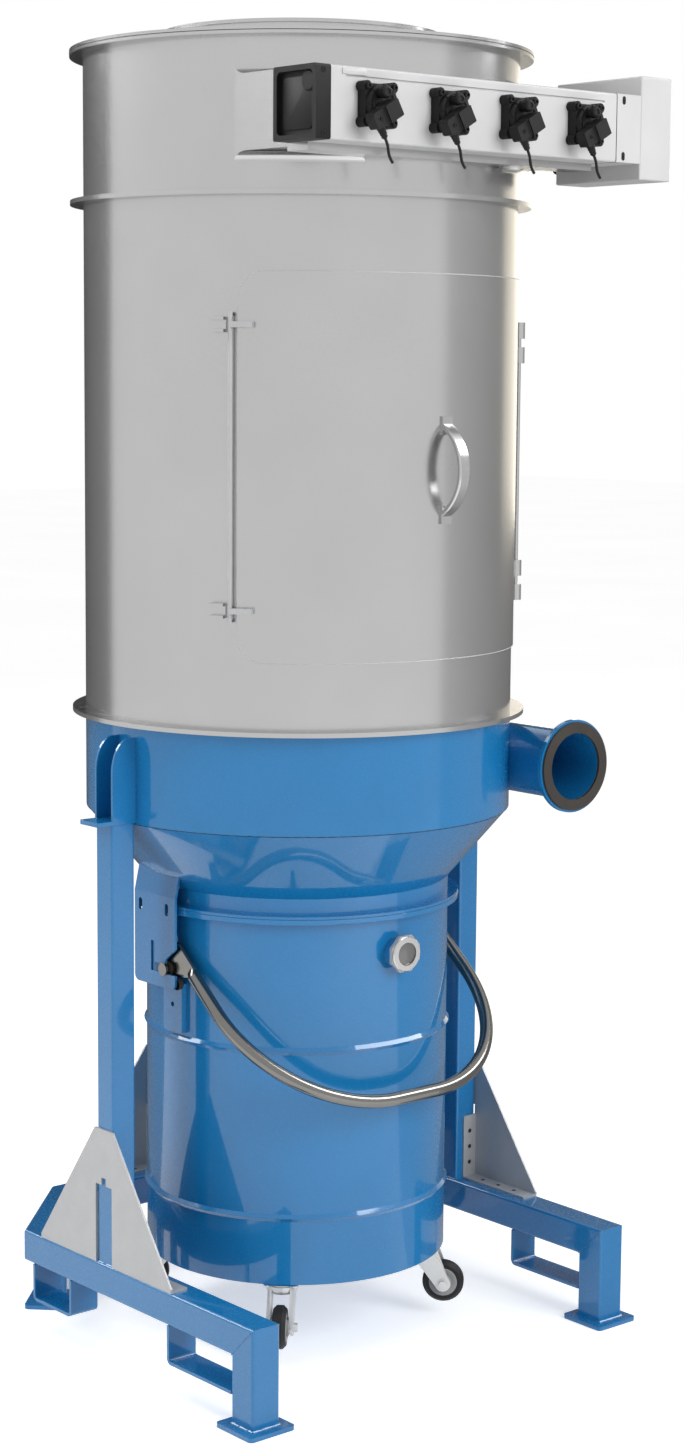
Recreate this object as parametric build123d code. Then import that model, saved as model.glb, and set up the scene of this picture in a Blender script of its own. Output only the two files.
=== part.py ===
"""Round pulse-jet bag filter on a welded stand, with a dust drum on castors hung under its hopper."""
import os
from math import cos, degrees, radians, sin, sqrt, tan

from build123d import *

# The front is -Y and the vessel stands on its own upright axis.
# Angles round the vessel are counted from the front towards +X.

# Shared clearances
OVERRUN = 30.0
SEAT_GAP = 0.3

# Vessel shell and flanges
SHELL_D = 800.0
SHELL_WALL = 3.0
SHELL_H = 921.0
FLANGE_LIP = 24.5
BOTTOM_FLANGE_Z = 1184.0
BOTTOM_FLANGE_T = 8.0
MID_FLANGE_T = 8.0
CLEAN_AIR_H = 257.0
TOP_FLANGE_T = 6.0

# Lid and outlet collar
LID_T = 6.0
COLLAR_D = 500.0
COLLAR_WALL = 4.0
COLLAR_H = 34.0
COLLAR_RIM = 6.0
COLLAR_FOOT = 12.0
COLLAR_FOOT_T = 6.0

# Doorway and door
DOOR_HALF_ANGLE = 55.0
DOOR_SILL_H = 119.0
DOOR_HEADER_H = 128.0
DOOR_CORNER = 50.0
DOOR_LAP = 25.0
DOOR_T = 3.0

# Door hinge, on the right edge of the door
HINGE_ANGLE = 58.5
HINGE_STAND_OFF = 16.0
HINGE_PIN_D = 8.0
KNUCKLE_D = 22.0
KNUCKLE_H = 30.0
KNUCKLE_INSET = 137.0
BRACKET_INSET = 91.0
BRACKET_REACH_ANGLE = 5.5
LEAF_W = 46.0
LEAF_T = 3.0

# Latch rod, on the left edge of the door
ROD_ANGLE = 56.4
ROD_STAND_OFF = 11.0
ROD_D = 8.0
LATCH_INSET = 91.0
LATCH_H = 26.0
PRONG_T = 5.0
PRONG_FAR_ANGLE = 61.7
PRONG_NEAR_ANGLE = 57.8
LUG_FAR_ANGLE = 50.8
LUG_H = 10.0
LATCH_REACH = 18.0

# Door handle
HANDLE_HEIGHT_SHARE = 0.4955
HANDLE_SPAN = 156.0
HANDLE_FOOT_H = 32.0
HANDLE_W = 24.0
HANDLE_T = 9.0
HANDLE_STAND_OFF = 52.0
HANDLE_FOOT_T = 4.0

# Hopper under the shell
HOPPER_WALL_H = 178.0
CONE_H = 134.0
NECK_D = 574.0
NECK_H = 34.0
NECK_RING_T = 5.0
NECK_RING_LIP = 19.0
DRUM_SEAL_T = 2.0

# Tangential inlet on the right side of the hopper
INLET_INSET = 68.0
INLET_HEIGHT_SHARE = 0.472
INLET_BORE = 125.0
INLET_WALL = 2.5
INLET_STAND_OFF = 10.0
INLET_FLANGE_D = 174.0
INLET_FLANGE_T = 8.0
GASKET_D = 165.0
GASKET_T = 5.0

# Stand
BASE_MARGIN = 55.0
SKID_FRONT = 440.0
SKID_TOP_Z = 190.0
CORNER_CUT = 195.0
BASE_TUBE = 60.0
TUBE_WALL = 3.0
TUBE_CORNER = 5.0
FOOT_SIZE = 100.0
FOOT_T = 8.0
FOOT_CORNER = 8.0

# Fork pockets under the skids
STRAP_T = 6.0
STRAP_BEND = 8.0
POCKET_H = 71.0
FRONT_POCKET = 180.0
REAR_POCKET_FRONT = 111.0
REAR_POCKET = 114.0

# Uprights, ears and gussets
UPRIGHT_TUBE = 50.0
EAR_BASE_LIFT = 2.0
EAR_BASE_T = 8.0
EAR_TOP_DROP = 16.0
EAR_T = 5.0
EAR_SPREAD = 55.0
EAR_SHOULDER_SHARE = 0.513
EAR_HEAD = 12.0
EAR_DEPTH = 83.0
EAR_BASE_HALF = 40.0
EAR_BROW_SHARE = 1.4
GUSSET_T = 4.0
GUSSET_HALF = 204.0
GUSSET_H = 254.0
GUSSET_TOP_HALF = 28.0
GUSSET_TOE = 8.0
GUSSET_WINDOW_H = 149.0
GUSSET_NOTCH = 14.0
GUSSET_LIP_W = 33.0
GUSSET_LIP_H = 130.0
GUSSET_HOLE_D = 9.0
GUSSET_HOLE_COUNT = 3

# Dust drum
DRUM_WALL = 2.0
DRUM_BASE_T = 3.0
DRUM_RIM_H = 8.0
DRUM_BEAD = 5.0
DRUM_BEAD_H = 14.0
DRUM_BEAD_HEIGHT_SHARES = (0.185, 0.642)
SIGHT_DROP = 72.7
SIGHT_RING_D = 66.0
SIGHT_STUB_D = 58.0
SIGHT_REACH = 30.0
SIGHT_RING_T = 12.0
SIGHT_GLASS_D = 43.0
SIGHT_RECESS = 4.0

# Lifting lugs on the sides of the drum
DRUM_LUG_STAND_OFF = 10.0
DRUM_LUG_T = 4.0
DRUM_LUG_HALF = 28.0
DRUM_LUG_H = 92.0
DRUM_LUG_HOLE_D = 9.0
DRUM_LUG_HOLE_SHARE = 0.55

# Side plates and the bail that lifts the drum
SIDE_PLATE_GAP = 6.0
SIDE_PLATE_T = 5.0
SIDE_PLATE_FRONT = 34.0
SIDE_PLATE_REAR = 90.0
SIDE_PLATE_DROP = 35.0
SIDE_PLATE_CORNER = 12.0
SIDE_FOLD_RISE = 22.0
SIDE_FOLD_H = 62.0
SIDE_FOLD_LEAN = 14.0
SLOT_LENGTH = 23.0
SLOT_W = 10.0
SLOT_FRONT_INSET = 26.0
SLOT_REAR_INSET = 18.0
SLOT_DROP = 24.5
HOOK_SLOT_REAR = 39.0
HOOK_SLOT_H = 48.0
MOUTH_IN = 4.0
MOUTH_STEP = 17.0
MOUTH_RISE = 41.0
BAIL_PIVOT_BACK = 2.0
BAIL_PIVOT_DROP = 114.0
BAIL_TILT = 38.7
BAIL_TUBE_D = 25.0
BAIL_OFFSET = 43.0
BAIL_HEAD = 60.0
BAIL_TAIL = 10.0
BAIL_CRIMP = 16.0
BAIL_REACH = 403.0
BAIL_BEND = 257.0
BAIL_ARM_T = 6.0
BAIL_ARM_GAP = 5.0
BAIL_ARM_EYE = 16.0
BAIL_PIN_D = 16.0
BAIL_PIN_HEAD_D = 24.0
BAIL_PIN_HEAD_T = 5.0

# Castors
CASTOR_INSET = 37.0
CASTOR_TRAIL = 38.0
CASTOR_PLATE = 64.0
CASTOR_PLATE_T = 4.0
CASTOR_HEADROOM = 36.0
CASTOR_HEAD_D = 46.0
CASTOR_HEAD_T = 12.0
CASTOR_RACE_D = 56.0
CASTOR_RACE_T = 5.0
CASTOR_FORK_GAP = 34.0
CASTOR_FORK_T = 3.0
CASTOR_FORK_EYE = 13.0
WHEEL_D = 80.0
WHEEL_W = 25.0
WHEEL_HUB_D = 34.0
WHEEL_HUB_W = 32.0
WHEEL_CLEAR_Z = 31.0
AXLE_D = 10.0
CASTOR_ANGLES = (("front_left", -45.0), ("front_right", 45.0), ("rear_right", 135.0), ("rear_left", 225.0))

# Air tank, its saddle and its shelf
TANK_OVERHANG = 1.0
TANK_GAP = 3.0
TANK_DEPTH = 110.0
TANK_LIFT = 69.0
TANK_H = 120.0
TANK_EDGE = 4.0
TANK_GROOVE_W = 3.0
TANK_GROOVE_DROP = 15.0
LEFT_CAP_W = 32.0
CAP_LIP = 9.0
CAP_RECESS = 8.0
RIGHT_CAP_W = 62.0
SADDLE_WIDTH_SHARE = 0.83
SADDLE_SET_IN = 33.0
SADDLE_BELOW = 5.0
SADDLE_ABOVE = 3.0
SADDLE_FILLET = 18.0
SHELF_H = 13.0
SHELF_DEPTH = 53.0

# Control box on the right end of the tank
BOX_W = 80.0
BOX_DEPTH = 214.0
BOX_DROP = 28.0
BOX_H = 183.0
BOX_EDGE = 3.0

# Pulse valves
VALVE_PITCH_SHARE = 0.2025
VALVE_COUNT = 4
VALVE_SIZE = 75.0
VALVE_BASE_T = 20.0
VALVE_LOBE_D = 18.0
DOME_D = 66.0
DOME_T = 8.0
PILOT_D = 34.0
PILOT_T = 4.0
STUB_D = 18.0
STUB_L = 17.0
STUB_X = -8.0
STUB_Y = 18.0
COIL_X = -2.0
COIL_Y = -12.0
COIL_W = 30.0
COIL_T = 26.0
COIL_TURN = 30.0
COIL_EDGE = 2.0
PLUG_W = 28.0
PLUG_T = 22.0
PLUG_EDGE = 5.0
GLAND_D = 15.0
GLAND_TIP_D = 9.0
GLAND_L = 20.0
LEAD_D = 5.0

# Filter bags, tube sheet and blow pipes
TUBE_SHEET_T = 5.0
BAG_D_SHARE = 0.15
BAG_MOUTH_D_SHARE = 0.13
BAG_PITCH_SHARE = 0.195
BAG_LIFT = 138.0
BAGS_PER_ROW = (3, 4, 4, 3)
BLOW_PIPE_D = 27.0
BLOW_PIPE_END_SHARE = 0.675

# Sizes that follow from those above
SHELL_R = SHELL_D / 2
SHELL_BORE_R = SHELL_R - SHELL_WALL
FLANGE_R = SHELL_R + FLANGE_LIP
SHELL_BOTTOM_Z = BOTTOM_FLANGE_Z + BOTTOM_FLANGE_T
MID_FLANGE_Z = SHELL_BOTTOM_Z + SHELL_H
CLEAN_AIR_Z = MID_FLANGE_Z + MID_FLANGE_T
TOP_FLANGE_Z = CLEAN_AIR_Z + CLEAN_AIR_H
LID_Z = TOP_FLANGE_Z + TOP_FLANGE_T
COLLAR_TOP_Z = LID_Z + LID_T + COLLAR_H
DOOR_BOTTOM_Z = SHELL_BOTTOM_Z + DOOR_SILL_H
DOOR_TOP_Z = MID_FLANGE_Z - DOOR_HEADER_H
DOOR_IN_R = SHELL_R + SEAT_GAP
DOOR_OUT_R = DOOR_IN_R + DOOR_T
HANDLE_Z = DOOR_BOTTOM_Z + HANDLE_HEIGHT_SHARE * (DOOR_TOP_Z - DOOR_BOTTOM_Z)
HINGE_R = SHELL_R + HINGE_STAND_OFF
ROD_R = SHELL_R + ROD_STAND_OFF
OPENING_HALF_ANGLE = DOOR_HALF_ANGLE - degrees(DOOR_LAP / SHELL_R)
OPENING_BOTTOM_Z = DOOR_BOTTOM_Z + DOOR_LAP
OPENING_TOP_Z = DOOR_TOP_Z - DOOR_LAP
CONE_TOP_Z = BOTTOM_FLANGE_Z - HOPPER_WALL_H
CONE_BOTTOM_Z = CONE_TOP_Z - CONE_H
NECK_R = NECK_D / 2
NECK_RING_R = NECK_R + NECK_RING_LIP
NECK_RING_Z = CONE_BOTTOM_Z - NECK_H
INLET_X = SHELL_R - INLET_INSET
INLET_Z = CONE_TOP_Z + INLET_HEIGHT_SHARE * HOPPER_WALL_H
INLET_FACE = SHELL_R + INLET_STAND_OFF
BASE_REACH = SHELL_R + BASE_MARGIN
BASE_MID = BASE_REACH - BASE_TUBE / 2
BASE_MID_Z = SKID_TOP_Z - BASE_TUBE / 2
SKID_BOTTOM_Z = SKID_TOP_Z - BASE_TUBE
STRAP_Z = SKID_BOTTOM_Z - POCKET_H
LEG_Y = BASE_TUBE / 2 - SKID_FRONT
EAR_BASE_Z = CONE_TOP_Z + EAR_BASE_LIFT
EAR_TOP_Z = BOTTOM_FLANGE_Z - EAR_TOP_DROP
EAR_REACH = SHELL_R + EAR_DEPTH
AXLE_Z = WHEEL_CLEAR_Z + WHEEL_D / 2
CASTOR_TOP_Z = WHEEL_CLEAR_Z + WHEEL_D + CASTOR_HEADROOM
DRUM_BOTTOM_Z = CASTOR_TOP_Z + CASTOR_PLATE_T
DRUM_TOP_Z = NECK_RING_Z - DRUM_SEAL_T - SEAT_GAP
DRUM_R = NECK_R
CASTOR_RING_R = DRUM_R - CASTOR_INSET
SIGHT_Z = DRUM_TOP_Z - SIGHT_DROP
SIDE_PLATE_X = NECK_RING_R + SIDE_PLATE_GAP
BAIL_PIVOT_Y = -BAIL_PIVOT_BACK
BAIL_PIVOT_Z = NECK_RING_Z - BAIL_PIVOT_DROP
BAIL_TUBE_X = SIDE_PLATE_X - BAIL_ARM_GAP - BAIL_ARM_T / 2
SIDE_PLATE_BOTTOM_Z = BAIL_PIVOT_Z - SIDE_PLATE_DROP
SIDE_FOLD_Z = NECK_RING_Z + SIDE_FOLD_RISE
TANK_BOTTOM_Z = CLEAN_AIR_Z + TANK_LIFT
SADDLE_HALF = SADDLE_WIDTH_SHARE * SHELL_R
SADDLE_FRONT = SHELL_R - SADDLE_SET_IN
SADDLE_BOTTOM_Z = TANK_BOTTOM_Z - SADDLE_BELOW
SADDLE_TOP_Z = TANK_BOTTOM_Z + TANK_H + SADDLE_ABOVE
SHELF_FRONT = SADDLE_FRONT + SHELF_DEPTH
TANK_RIGHT = SADDLE_HALF + TANK_OVERHANG
TANK_LEFT = -TANK_RIGHT
TANK_BACK = SADDLE_FRONT + TANK_GAP
TANK_FRONT = TANK_BACK + TANK_DEPTH
BOX_BOTTOM_Z = TANK_BOTTOM_Z - BOX_DROP
VALVE_Z = TANK_BOTTOM_Z + TANK_H / 2
VALVE_PITCH = VALVE_PITCH_SHARE * SHELL_D
VALVE_REACH = VALVE_BASE_T + DOME_T + PILOT_T + COIL_T
VALVE_XS = [(i - (VALVE_COUNT - 1) / 2) * VALVE_PITCH for i in range(VALVE_COUNT)]
BAG_D = BAG_D_SHARE * SHELL_D
BAG_MOUTH_D = BAG_MOUTH_D_SHARE * SHELL_D
BAG_PITCH = BAG_PITCH_SHARE * SHELL_D
BAG_BOTTOM_Z = SHELL_BOTTOM_Z + BAG_LIFT
BLOW_PIPE_END = BLOW_PIPE_END_SHARE * SHELL_R

# The vessel axis stands this far behind the middle of the whole filter's footprint.
AXIS_Y = (TANK_FRONT + VALVE_REACH - max(BASE_REACH, EAR_REACH)) / 2

# Route of a valve lead from the tip of its gland, to the right and down
LEAD_STEPS = ((0.0, 0.0), (5.6, -9.7), (7.0, -20.6), (10.2, -30.8), (17.0, -38.8))
LEAD_BEND_SHARE = 0.45


def block(x0, x1, y0, y1, z0, z1):
    """A box between two corners."""
    return Pos((x0 + x1) / 2, (y0 + y1) / 2, (z0 + z1) / 2) * Box(x1 - x0, y1 - y0, z1 - z0)


def ring(inner_r, outer_r, z0, z1):
    """A level ring about the vessel axis."""
    return Pos(0, 0, z0) * extrude(Circle(outer_r) - Circle(inner_r), z1 - z0)


def disc(radius, z0, z1):
    """A level round plate about the vessel axis."""
    return Pos(0, 0, z0) * extrude(Circle(radius), z1 - z0)


def sector(inner_r, outer_r, angle0, angle1, z0, z1):
    """A stretch of round wall between two angles, counted from the front towards +X."""
    profile = Plane.XZ * Pos((inner_r + outer_r) / 2, (z0 + z1) / 2) * Rectangle(outer_r - inner_r, z1 - z0)
    return Rot(0, 0, angle0 - 90) * revolve(profile, Axis.Z, angle1 - angle0)


def turned(points):
    """A body of revolution about the vessel axis from radius and height pairs."""
    return revolve(make_face(Plane.XZ * Polyline(*points, close=True)), Axis.Z)


def post(radius, x, y, z0, z1):
    """An upright round bar."""
    return Pos(x, y, z0) * extrude(Circle(radius), z1 - z0)


def at_angle(radius, angle):
    """Plan position at an angle from the front towards +X."""
    return radius * sin(radians(angle)), -radius * cos(radians(angle))


def together(pieces):
    """Separate solids as one node."""
    return Compound([solid for piece in pieces for solid in piece.solids()])


def mirrored(part):
    """The part and its mirror image across the vessel's middle."""
    return [part, mirror(part, about=Plane.YZ)]


def tube_section(width):
    """Section of a square tube with rounded corners."""
    inner = width - 2 * TUBE_WALL
    bore = RectangleRounded(inner, inner, TUBE_CORNER - TUBE_WALL)
    return RectangleRounded(width, width, TUBE_CORNER) - bore


def mitred_tube(start, end, before, after):
    """A square tube between two corners, cut on the bisector of the runs that meet there."""
    run = (Vector(*end) - Vector(*start)).normalized()
    length = (Vector(*end) - Vector(*start)).length
    side = Vector(1, 0, 0) if abs(run.Z) > 0 else run.cross(Vector(0, 0, 1))
    frame = Plane(origin=Vector(*start) - run * BASE_TUBE, x_dir=side, z_dir=run)
    bar = extrude(frame * tube_section(BASE_TUBE), length + 2 * BASE_TUBE)
    bar = split(bar, bisect_by=Plane(origin=Vector(*start), z_dir=run + Vector(*before)), keep=Keep.TOP)
    return split(bar, bisect_by=Plane(origin=Vector(*end), z_dir=run + Vector(*after)), keep=Keep.BOTTOM)


# Stand
UP = (0, 0, 1)
BACK = (0, 1, 0)
ACROSS = (1, 0, 0)
DIAGONAL = (sqrt(0.5), sqrt(0.5), 0)
CORNER_SHIFT = BASE_TUBE / 2 * tan(radians(45 / 2))
SKID_CORNER = (-BASE_MID, LEG_Y, BASE_MID_Z)
REAR_SIDE_CORNER = (-BASE_MID, BASE_REACH - CORNER_CUT - CORNER_SHIFT, BASE_MID_Z)
REAR_BACK_CORNER = (CORNER_CUT + CORNER_SHIFT - BASE_REACH, BASE_MID, BASE_MID_Z)
REAR_LEG_X = (REAR_SIDE_CORNER[0] + REAR_BACK_CORNER[0]) / 2
REAR_LEG_Y = (REAR_SIDE_CORNER[1] + REAR_BACK_CORNER[1]) / 2


def make_skid():
    """Left skid tube, mitred to the front leg and to the rear corner."""
    return mitred_tube(SKID_CORNER, REAR_SIDE_CORNER, UP, DIAGONAL)


def make_rear_frame():
    """Rear cross beam with its two diagonal corners, welded into one."""
    corner = mitred_tube(REAR_SIDE_CORNER, REAR_BACK_CORNER, BACK, ACROSS)
    other_end = (-REAR_BACK_CORNER[0], REAR_BACK_CORNER[1], REAR_BACK_CORNER[2])
    beam = mitred_tube(REAR_BACK_CORNER, other_end, DIAGONAL, (DIAGONAL[0], -DIAGONAL[1], 0))
    return beam + corner + mirror(corner, about=Plane.YZ)


def foot_plate():
    """Square foot plate with rounded corners, about the origin."""
    return extrude(RectangleRounded(FOOT_SIZE, FOOT_SIZE, FOOT_CORNER), FOOT_T)


def make_legs():
    """Four legs with foot plates: the front pair mitred to the skids, the rear pair set at 45 degrees."""
    foot = (-BASE_MID, LEG_Y, FOOT_T)
    front = mitred_tube(foot, SKID_CORNER, UP, BACK) + Pos(-BASE_MID, LEG_Y, 0) * foot_plate()
    tube = Pos(0, 0, FOOT_T) * extrude(tube_section(BASE_TUBE), SKID_BOTTOM_Z - FOOT_T)
    rear = Pos(REAR_LEG_X, REAR_LEG_Y, 0) * Rot(0, 0, 45) * (tube + foot_plate())
    return together(mirrored(front) + mirrored(rear))


def strap(points):
    """Flat bar bent in the skid's plane along front-to-back and height pairs, under the left skid."""
    bar = trace(FilletPolyline(*points, radius=STRAP_BEND), STRAP_T)
    return Pos(-BASE_REACH, 0, 0) * extrude(Plane.YZ * bar, BASE_TUBE)


def make_fork_straps():
    """Flat bars bent under the skids, which close the four fork pockets."""
    low = STRAP_Z + STRAP_T / 2
    leg_back = LEG_Y + BASE_TUBE / 2
    pocket_end = leg_back + FRONT_POCKET + STRAP_T / 2
    front = strap([(leg_back, low), (pocket_end, low), (pocket_end, SKID_BOTTOM_Z)])
    rear_start = REAR_POCKET_FRONT - STRAP_T / 2
    rear_end = REAR_POCKET_FRONT + REAR_POCKET + STRAP_T / 2
    rear = strap([(rear_start, SKID_BOTTOM_Z), (rear_start, low), (rear_end, low), (rear_end, SKID_BOTTOM_Z)])
    return together(mirrored(front) + mirrored(rear))


def make_upright(angle):
    """Square upright on the base, under one ear of the hopper."""
    tube = Pos(0, -BASE_MID, SKID_TOP_Z) * extrude(tube_section(UPRIGHT_TUBE), EAR_BASE_Z - SKID_TOP_Z)
    return Rot(0, 0, angle) * tube


def gusset():
    """Folded sheet that braces an upright on its base tube, made at the front."""
    web_out = UPRIGHT_TUBE / 2 + BASE_MID + GUSSET_T
    web_in = web_out - GUSSET_T
    peak = SKID_TOP_Z + GUSSET_H
    toe = SKID_TOP_Z + GUSSET_TOE
    edge = Polyline((-GUSSET_HALF, SKID_TOP_Z), (GUSSET_HALF, SKID_TOP_Z), (GUSSET_HALF, toe),
                    (GUSSET_TOP_HALF, peak), (-GUSSET_TOP_HALF, peak), (-GUSSET_HALF, toe), close=True)
    web = Pos(0, -web_in, 0) * extrude(Plane.XZ * make_face(edge), GUSSET_T)
    half_window = UPRIGHT_TUBE / 2
    window_top = SKID_TOP_Z + GUSSET_WINDOW_H
    for half, low, high in ((half_window, SKID_TOP_Z - OVERRUN, window_top),
                            (GUSSET_NOTCH / 2, window_top - OVERRUN, window_top + GUSSET_NOTCH)):
        web -= block(-half, half, -web_out - OVERRUN, OVERRUN - web_in, low, high)
    lip = block(half_window, half_window + GUSSET_T, -web_in, GUSSET_LIP_W - web_in, SKID_TOP_Z,
                SKID_TOP_Z + GUSSET_LIP_H)
    sole = block(half_window, GUSSET_HALF, -web_in, GUSSET_LIP_W - web_in, SKID_TOP_Z,
                 SKID_TOP_Z + GUSSET_T)
    for i in range(GUSSET_HOLE_COUNT):
        share = (i + 1) / (GUSSET_HOLE_COUNT + 1)
        drill = Cylinder(GUSSET_HOLE_D / 2, OVERRUN)
        middle = GUSSET_LIP_W / 2 - web_in
        lip -= Pos(half_window, middle, SKID_TOP_Z + share * GUSSET_LIP_H) * Rot(0, 90, 0) * drill
        sole -= Pos(half_window + share * (GUSSET_HALF - half_window), middle, SKID_TOP_Z) * drill
    folded = lip + sole
    return web + folded + mirror(folded, about=Plane.YZ)


def make_gussets():
    """One gusset on the outer side of each upright."""
    return together([Rot(0, 0, angle) * gusset() for angle in (-90, 90, 180)])


# Hopper and inlet
def ear():
    """Two cheek plates and a base plate that carry the hopper on an upright, made at the front."""
    low = EAR_BASE_Z + EAR_BASE_T
    outer = EAR_REACH
    shoulder_z = low + EAR_SHOULDER_SHARE * (EAR_TOP_Z - low)
    shoulder = Line((-outer, low), (-outer, shoulder_z))
    brow_r = EAR_BROW_SHARE * (EAR_TOP_Z - shoulder_z)
    brow = RadiusArc(shoulder @ 1, (-SHELL_R - EAR_HEAD, EAR_TOP_Z), -brow_r)
    rest = Polyline(brow @ 1, (OVERRUN - SHELL_R, EAR_TOP_Z), (OVERRUN - SHELL_R, low), shoulder @ 0)
    cheek_face = Plane.YZ * make_face([shoulder, brow, rest])
    cheek = Pos(EAR_SPREAD / 2 - EAR_T, 0, 0) * extrude(cheek_face, EAR_T)
    base = block(-EAR_BASE_HALF, EAR_BASE_HALF, -outer, OVERRUN - SHELL_R, EAR_BASE_Z, low)
    shell = disc(SHELL_R, EAR_BASE_Z - OVERRUN, EAR_TOP_Z + OVERRUN)
    return cheek + mirror(cheek, about=Plane.YZ) + base - shell


def cone_space():
    """The whole space inside the outer surface of the hopper's cone."""
    return turned([(0, CONE_BOTTOM_Z), (NECK_R, CONE_BOTTOM_Z), (SHELL_R, CONE_TOP_Z), (0, CONE_TOP_Z)])


def make_hopper_ears():
    """Three ears, one over each upright."""
    return together([Rot(0, 0, angle) * ear() - cone_space() for angle in (-90, 90, 180)])


def inlet_bore(diameter, start, end):
    """A round bar along the inlet's axis, between two distances in front of the vessel axis."""
    return Pos(INLET_X, -start, INLET_Z) * Rot(90, 0, 0) * extrude(Circle(diameter / 2), end - start)


def make_hopper_cylinder():
    """Hopper wall above the cone, with the inlet's mouth cut through."""
    return ring(SHELL_BORE_R, SHELL_R, CONE_TOP_Z, BOTTOM_FLANGE_Z) - inlet_bore(INLET_BORE, 0, INLET_FACE)


def make_hopper_cone():
    """Cone, neck and neck ring of the hopper, welded into one."""
    ring_top = NECK_RING_Z + NECK_RING_T
    points = [(SHELL_BORE_R, CONE_TOP_Z), (SHELL_R, CONE_TOP_Z), (NECK_R, CONE_BOTTOM_Z), (NECK_R, ring_top),
              (NECK_RING_R, ring_top), (NECK_RING_R, NECK_RING_Z),
              (NECK_R - SHELL_WALL, NECK_RING_Z), (NECK_R - SHELL_WALL, CONE_BOTTOM_Z)]
    return turned(points)


def make_drum_seal():
    """Rubber ring under the neck ring, on which the drum's rim closes."""
    return ring(NECK_R - SHELL_WALL, NECK_RING_R, NECK_RING_Z - DRUM_SEAL_T, NECK_RING_Z)


def make_inlet_pipe():
    """Tangential inlet pipe, trimmed to the hopper wall."""
    face = INLET_FACE - GASKET_T
    pipe = inlet_bore(INLET_BORE + 2 * INLET_WALL, 0, face) - inlet_bore(INLET_BORE, -OVERRUN, face + OVERRUN)
    return pipe - disc(SHELL_R, CONE_TOP_Z - OVERRUN, BOTTOM_FLANGE_Z)


def make_inlet_flange():
    """Loose flange on the end of the inlet pipe."""
    face = INLET_FACE - GASKET_T
    plate = inlet_bore(INLET_FLANGE_D, face - INLET_FLANGE_T, face)
    return plate - inlet_bore(INLET_BORE + 2 * INLET_WALL, 0, INLET_FACE)


def make_inlet_gasket():
    """Rubber ring on the face of the inlet."""
    rubber = inlet_bore(GASKET_D, INLET_FACE - GASKET_T, INLET_FACE)
    return rubber - inlet_bore(INLET_BORE, 0, INLET_FACE + OVERRUN)


# Shell, flanges and lid
def make_bottom_flange():
    """Pair of bolted rings between the shell and the hopper."""
    return ring(SHELL_BORE_R, FLANGE_R, BOTTOM_FLANGE_Z, SHELL_BOTTOM_Z)


def make_side_wall(sign):
    """Shell from the edge of the doorway round to the back, on one side."""
    if sign < 0:
        return sector(SHELL_BORE_R, SHELL_R, -180, -OPENING_HALF_ANGLE, SHELL_BOTTOM_Z, MID_FLANGE_Z)
    return sector(SHELL_BORE_R, SHELL_R, OPENING_HALF_ANGLE, 180, SHELL_BOTTOM_Z, MID_FLANGE_Z)


def make_door_sill():
    """Shell under the doorway."""
    return sector(SHELL_BORE_R, SHELL_R, -OPENING_HALF_ANGLE, OPENING_HALF_ANGLE,
                  SHELL_BOTTOM_Z, OPENING_BOTTOM_Z)


def make_door_header():
    """Shell over the doorway."""
    return sector(SHELL_BORE_R, SHELL_R, -OPENING_HALF_ANGLE, OPENING_HALF_ANGLE, OPENING_TOP_Z, MID_FLANGE_Z)


def bag_places():
    """Plan positions of the bags, in one row under each valve's blow pipe."""
    places = []
    for x, count in zip(VALVE_XS, BAGS_PER_ROW):
        places += [(x, (i - (count - 1) / 2) * BAG_PITCH) for i in range(count)]
    return places


def make_tube_sheet():
    """Plate between dirty and clean air, with a mouth for each bag, and the middle flange around it."""
    sheet = disc(FLANGE_R, MID_FLANGE_Z, CLEAN_AIR_Z)
    sheet -= disc(SHELL_BORE_R, MID_FLANGE_Z - OVERRUN, CLEAN_AIR_Z - TUBE_SHEET_T)
    for x, y in bag_places():
        sheet -= post(BAG_MOUTH_D / 2, x, y, MID_FLANGE_Z - OVERRUN, CLEAN_AIR_Z + OVERRUN)
    return sheet


def make_filter_bags():
    """Filter bags hung from the tube sheet, as plain closed forms."""
    top = CLEAN_AIR_Z - TUBE_SHEET_T - SEAT_GAP
    return together([post(BAG_D / 2, x, y, BAG_BOTTOM_Z, top) for x, y in bag_places()])


def blow_pipe_bores():
    """Holes for the blow pipes, from the vessel axis out through the front."""
    bore = extrude(Circle(BLOW_PIPE_D / 2 + SEAT_GAP), SHELL_R + OVERRUN)
    return [Pos(x, 0, VALVE_Z) * Rot(90, 0, 0) * bore for x in VALVE_XS]


def make_clean_air_shell():
    """Shell of the clean air chamber, with a hole for each blow pipe."""
    shell = ring(SHELL_BORE_R, SHELL_R, CLEAN_AIR_Z, TOP_FLANGE_Z)
    shell -= block(-SADDLE_HALF, SADDLE_HALF, -SHELL_R - OVERRUN, SHELL_WALL - SADDLE_FRONT,
                   SADDLE_BOTTOM_Z, SADDLE_TOP_Z)
    return shell - blow_pipe_bores()


def make_blow_pipes():
    """Pipes that lead each pulse of air from the tank over a row of bags."""
    pipes = []
    for x in VALVE_XS:
        outer = extrude(Circle(BLOW_PIPE_D / 2), TANK_BACK + BLOW_PIPE_END)
        pipes.append(Pos(x, BLOW_PIPE_END, VALVE_Z) * Rot(90, 0, 0) * outer)
    return together(pipes)


def make_top_flange():
    """Ring round the top of the shell."""
    return ring(SHELL_BORE_R, FLANGE_R, TOP_FLANGE_Z, LID_Z)


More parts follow.
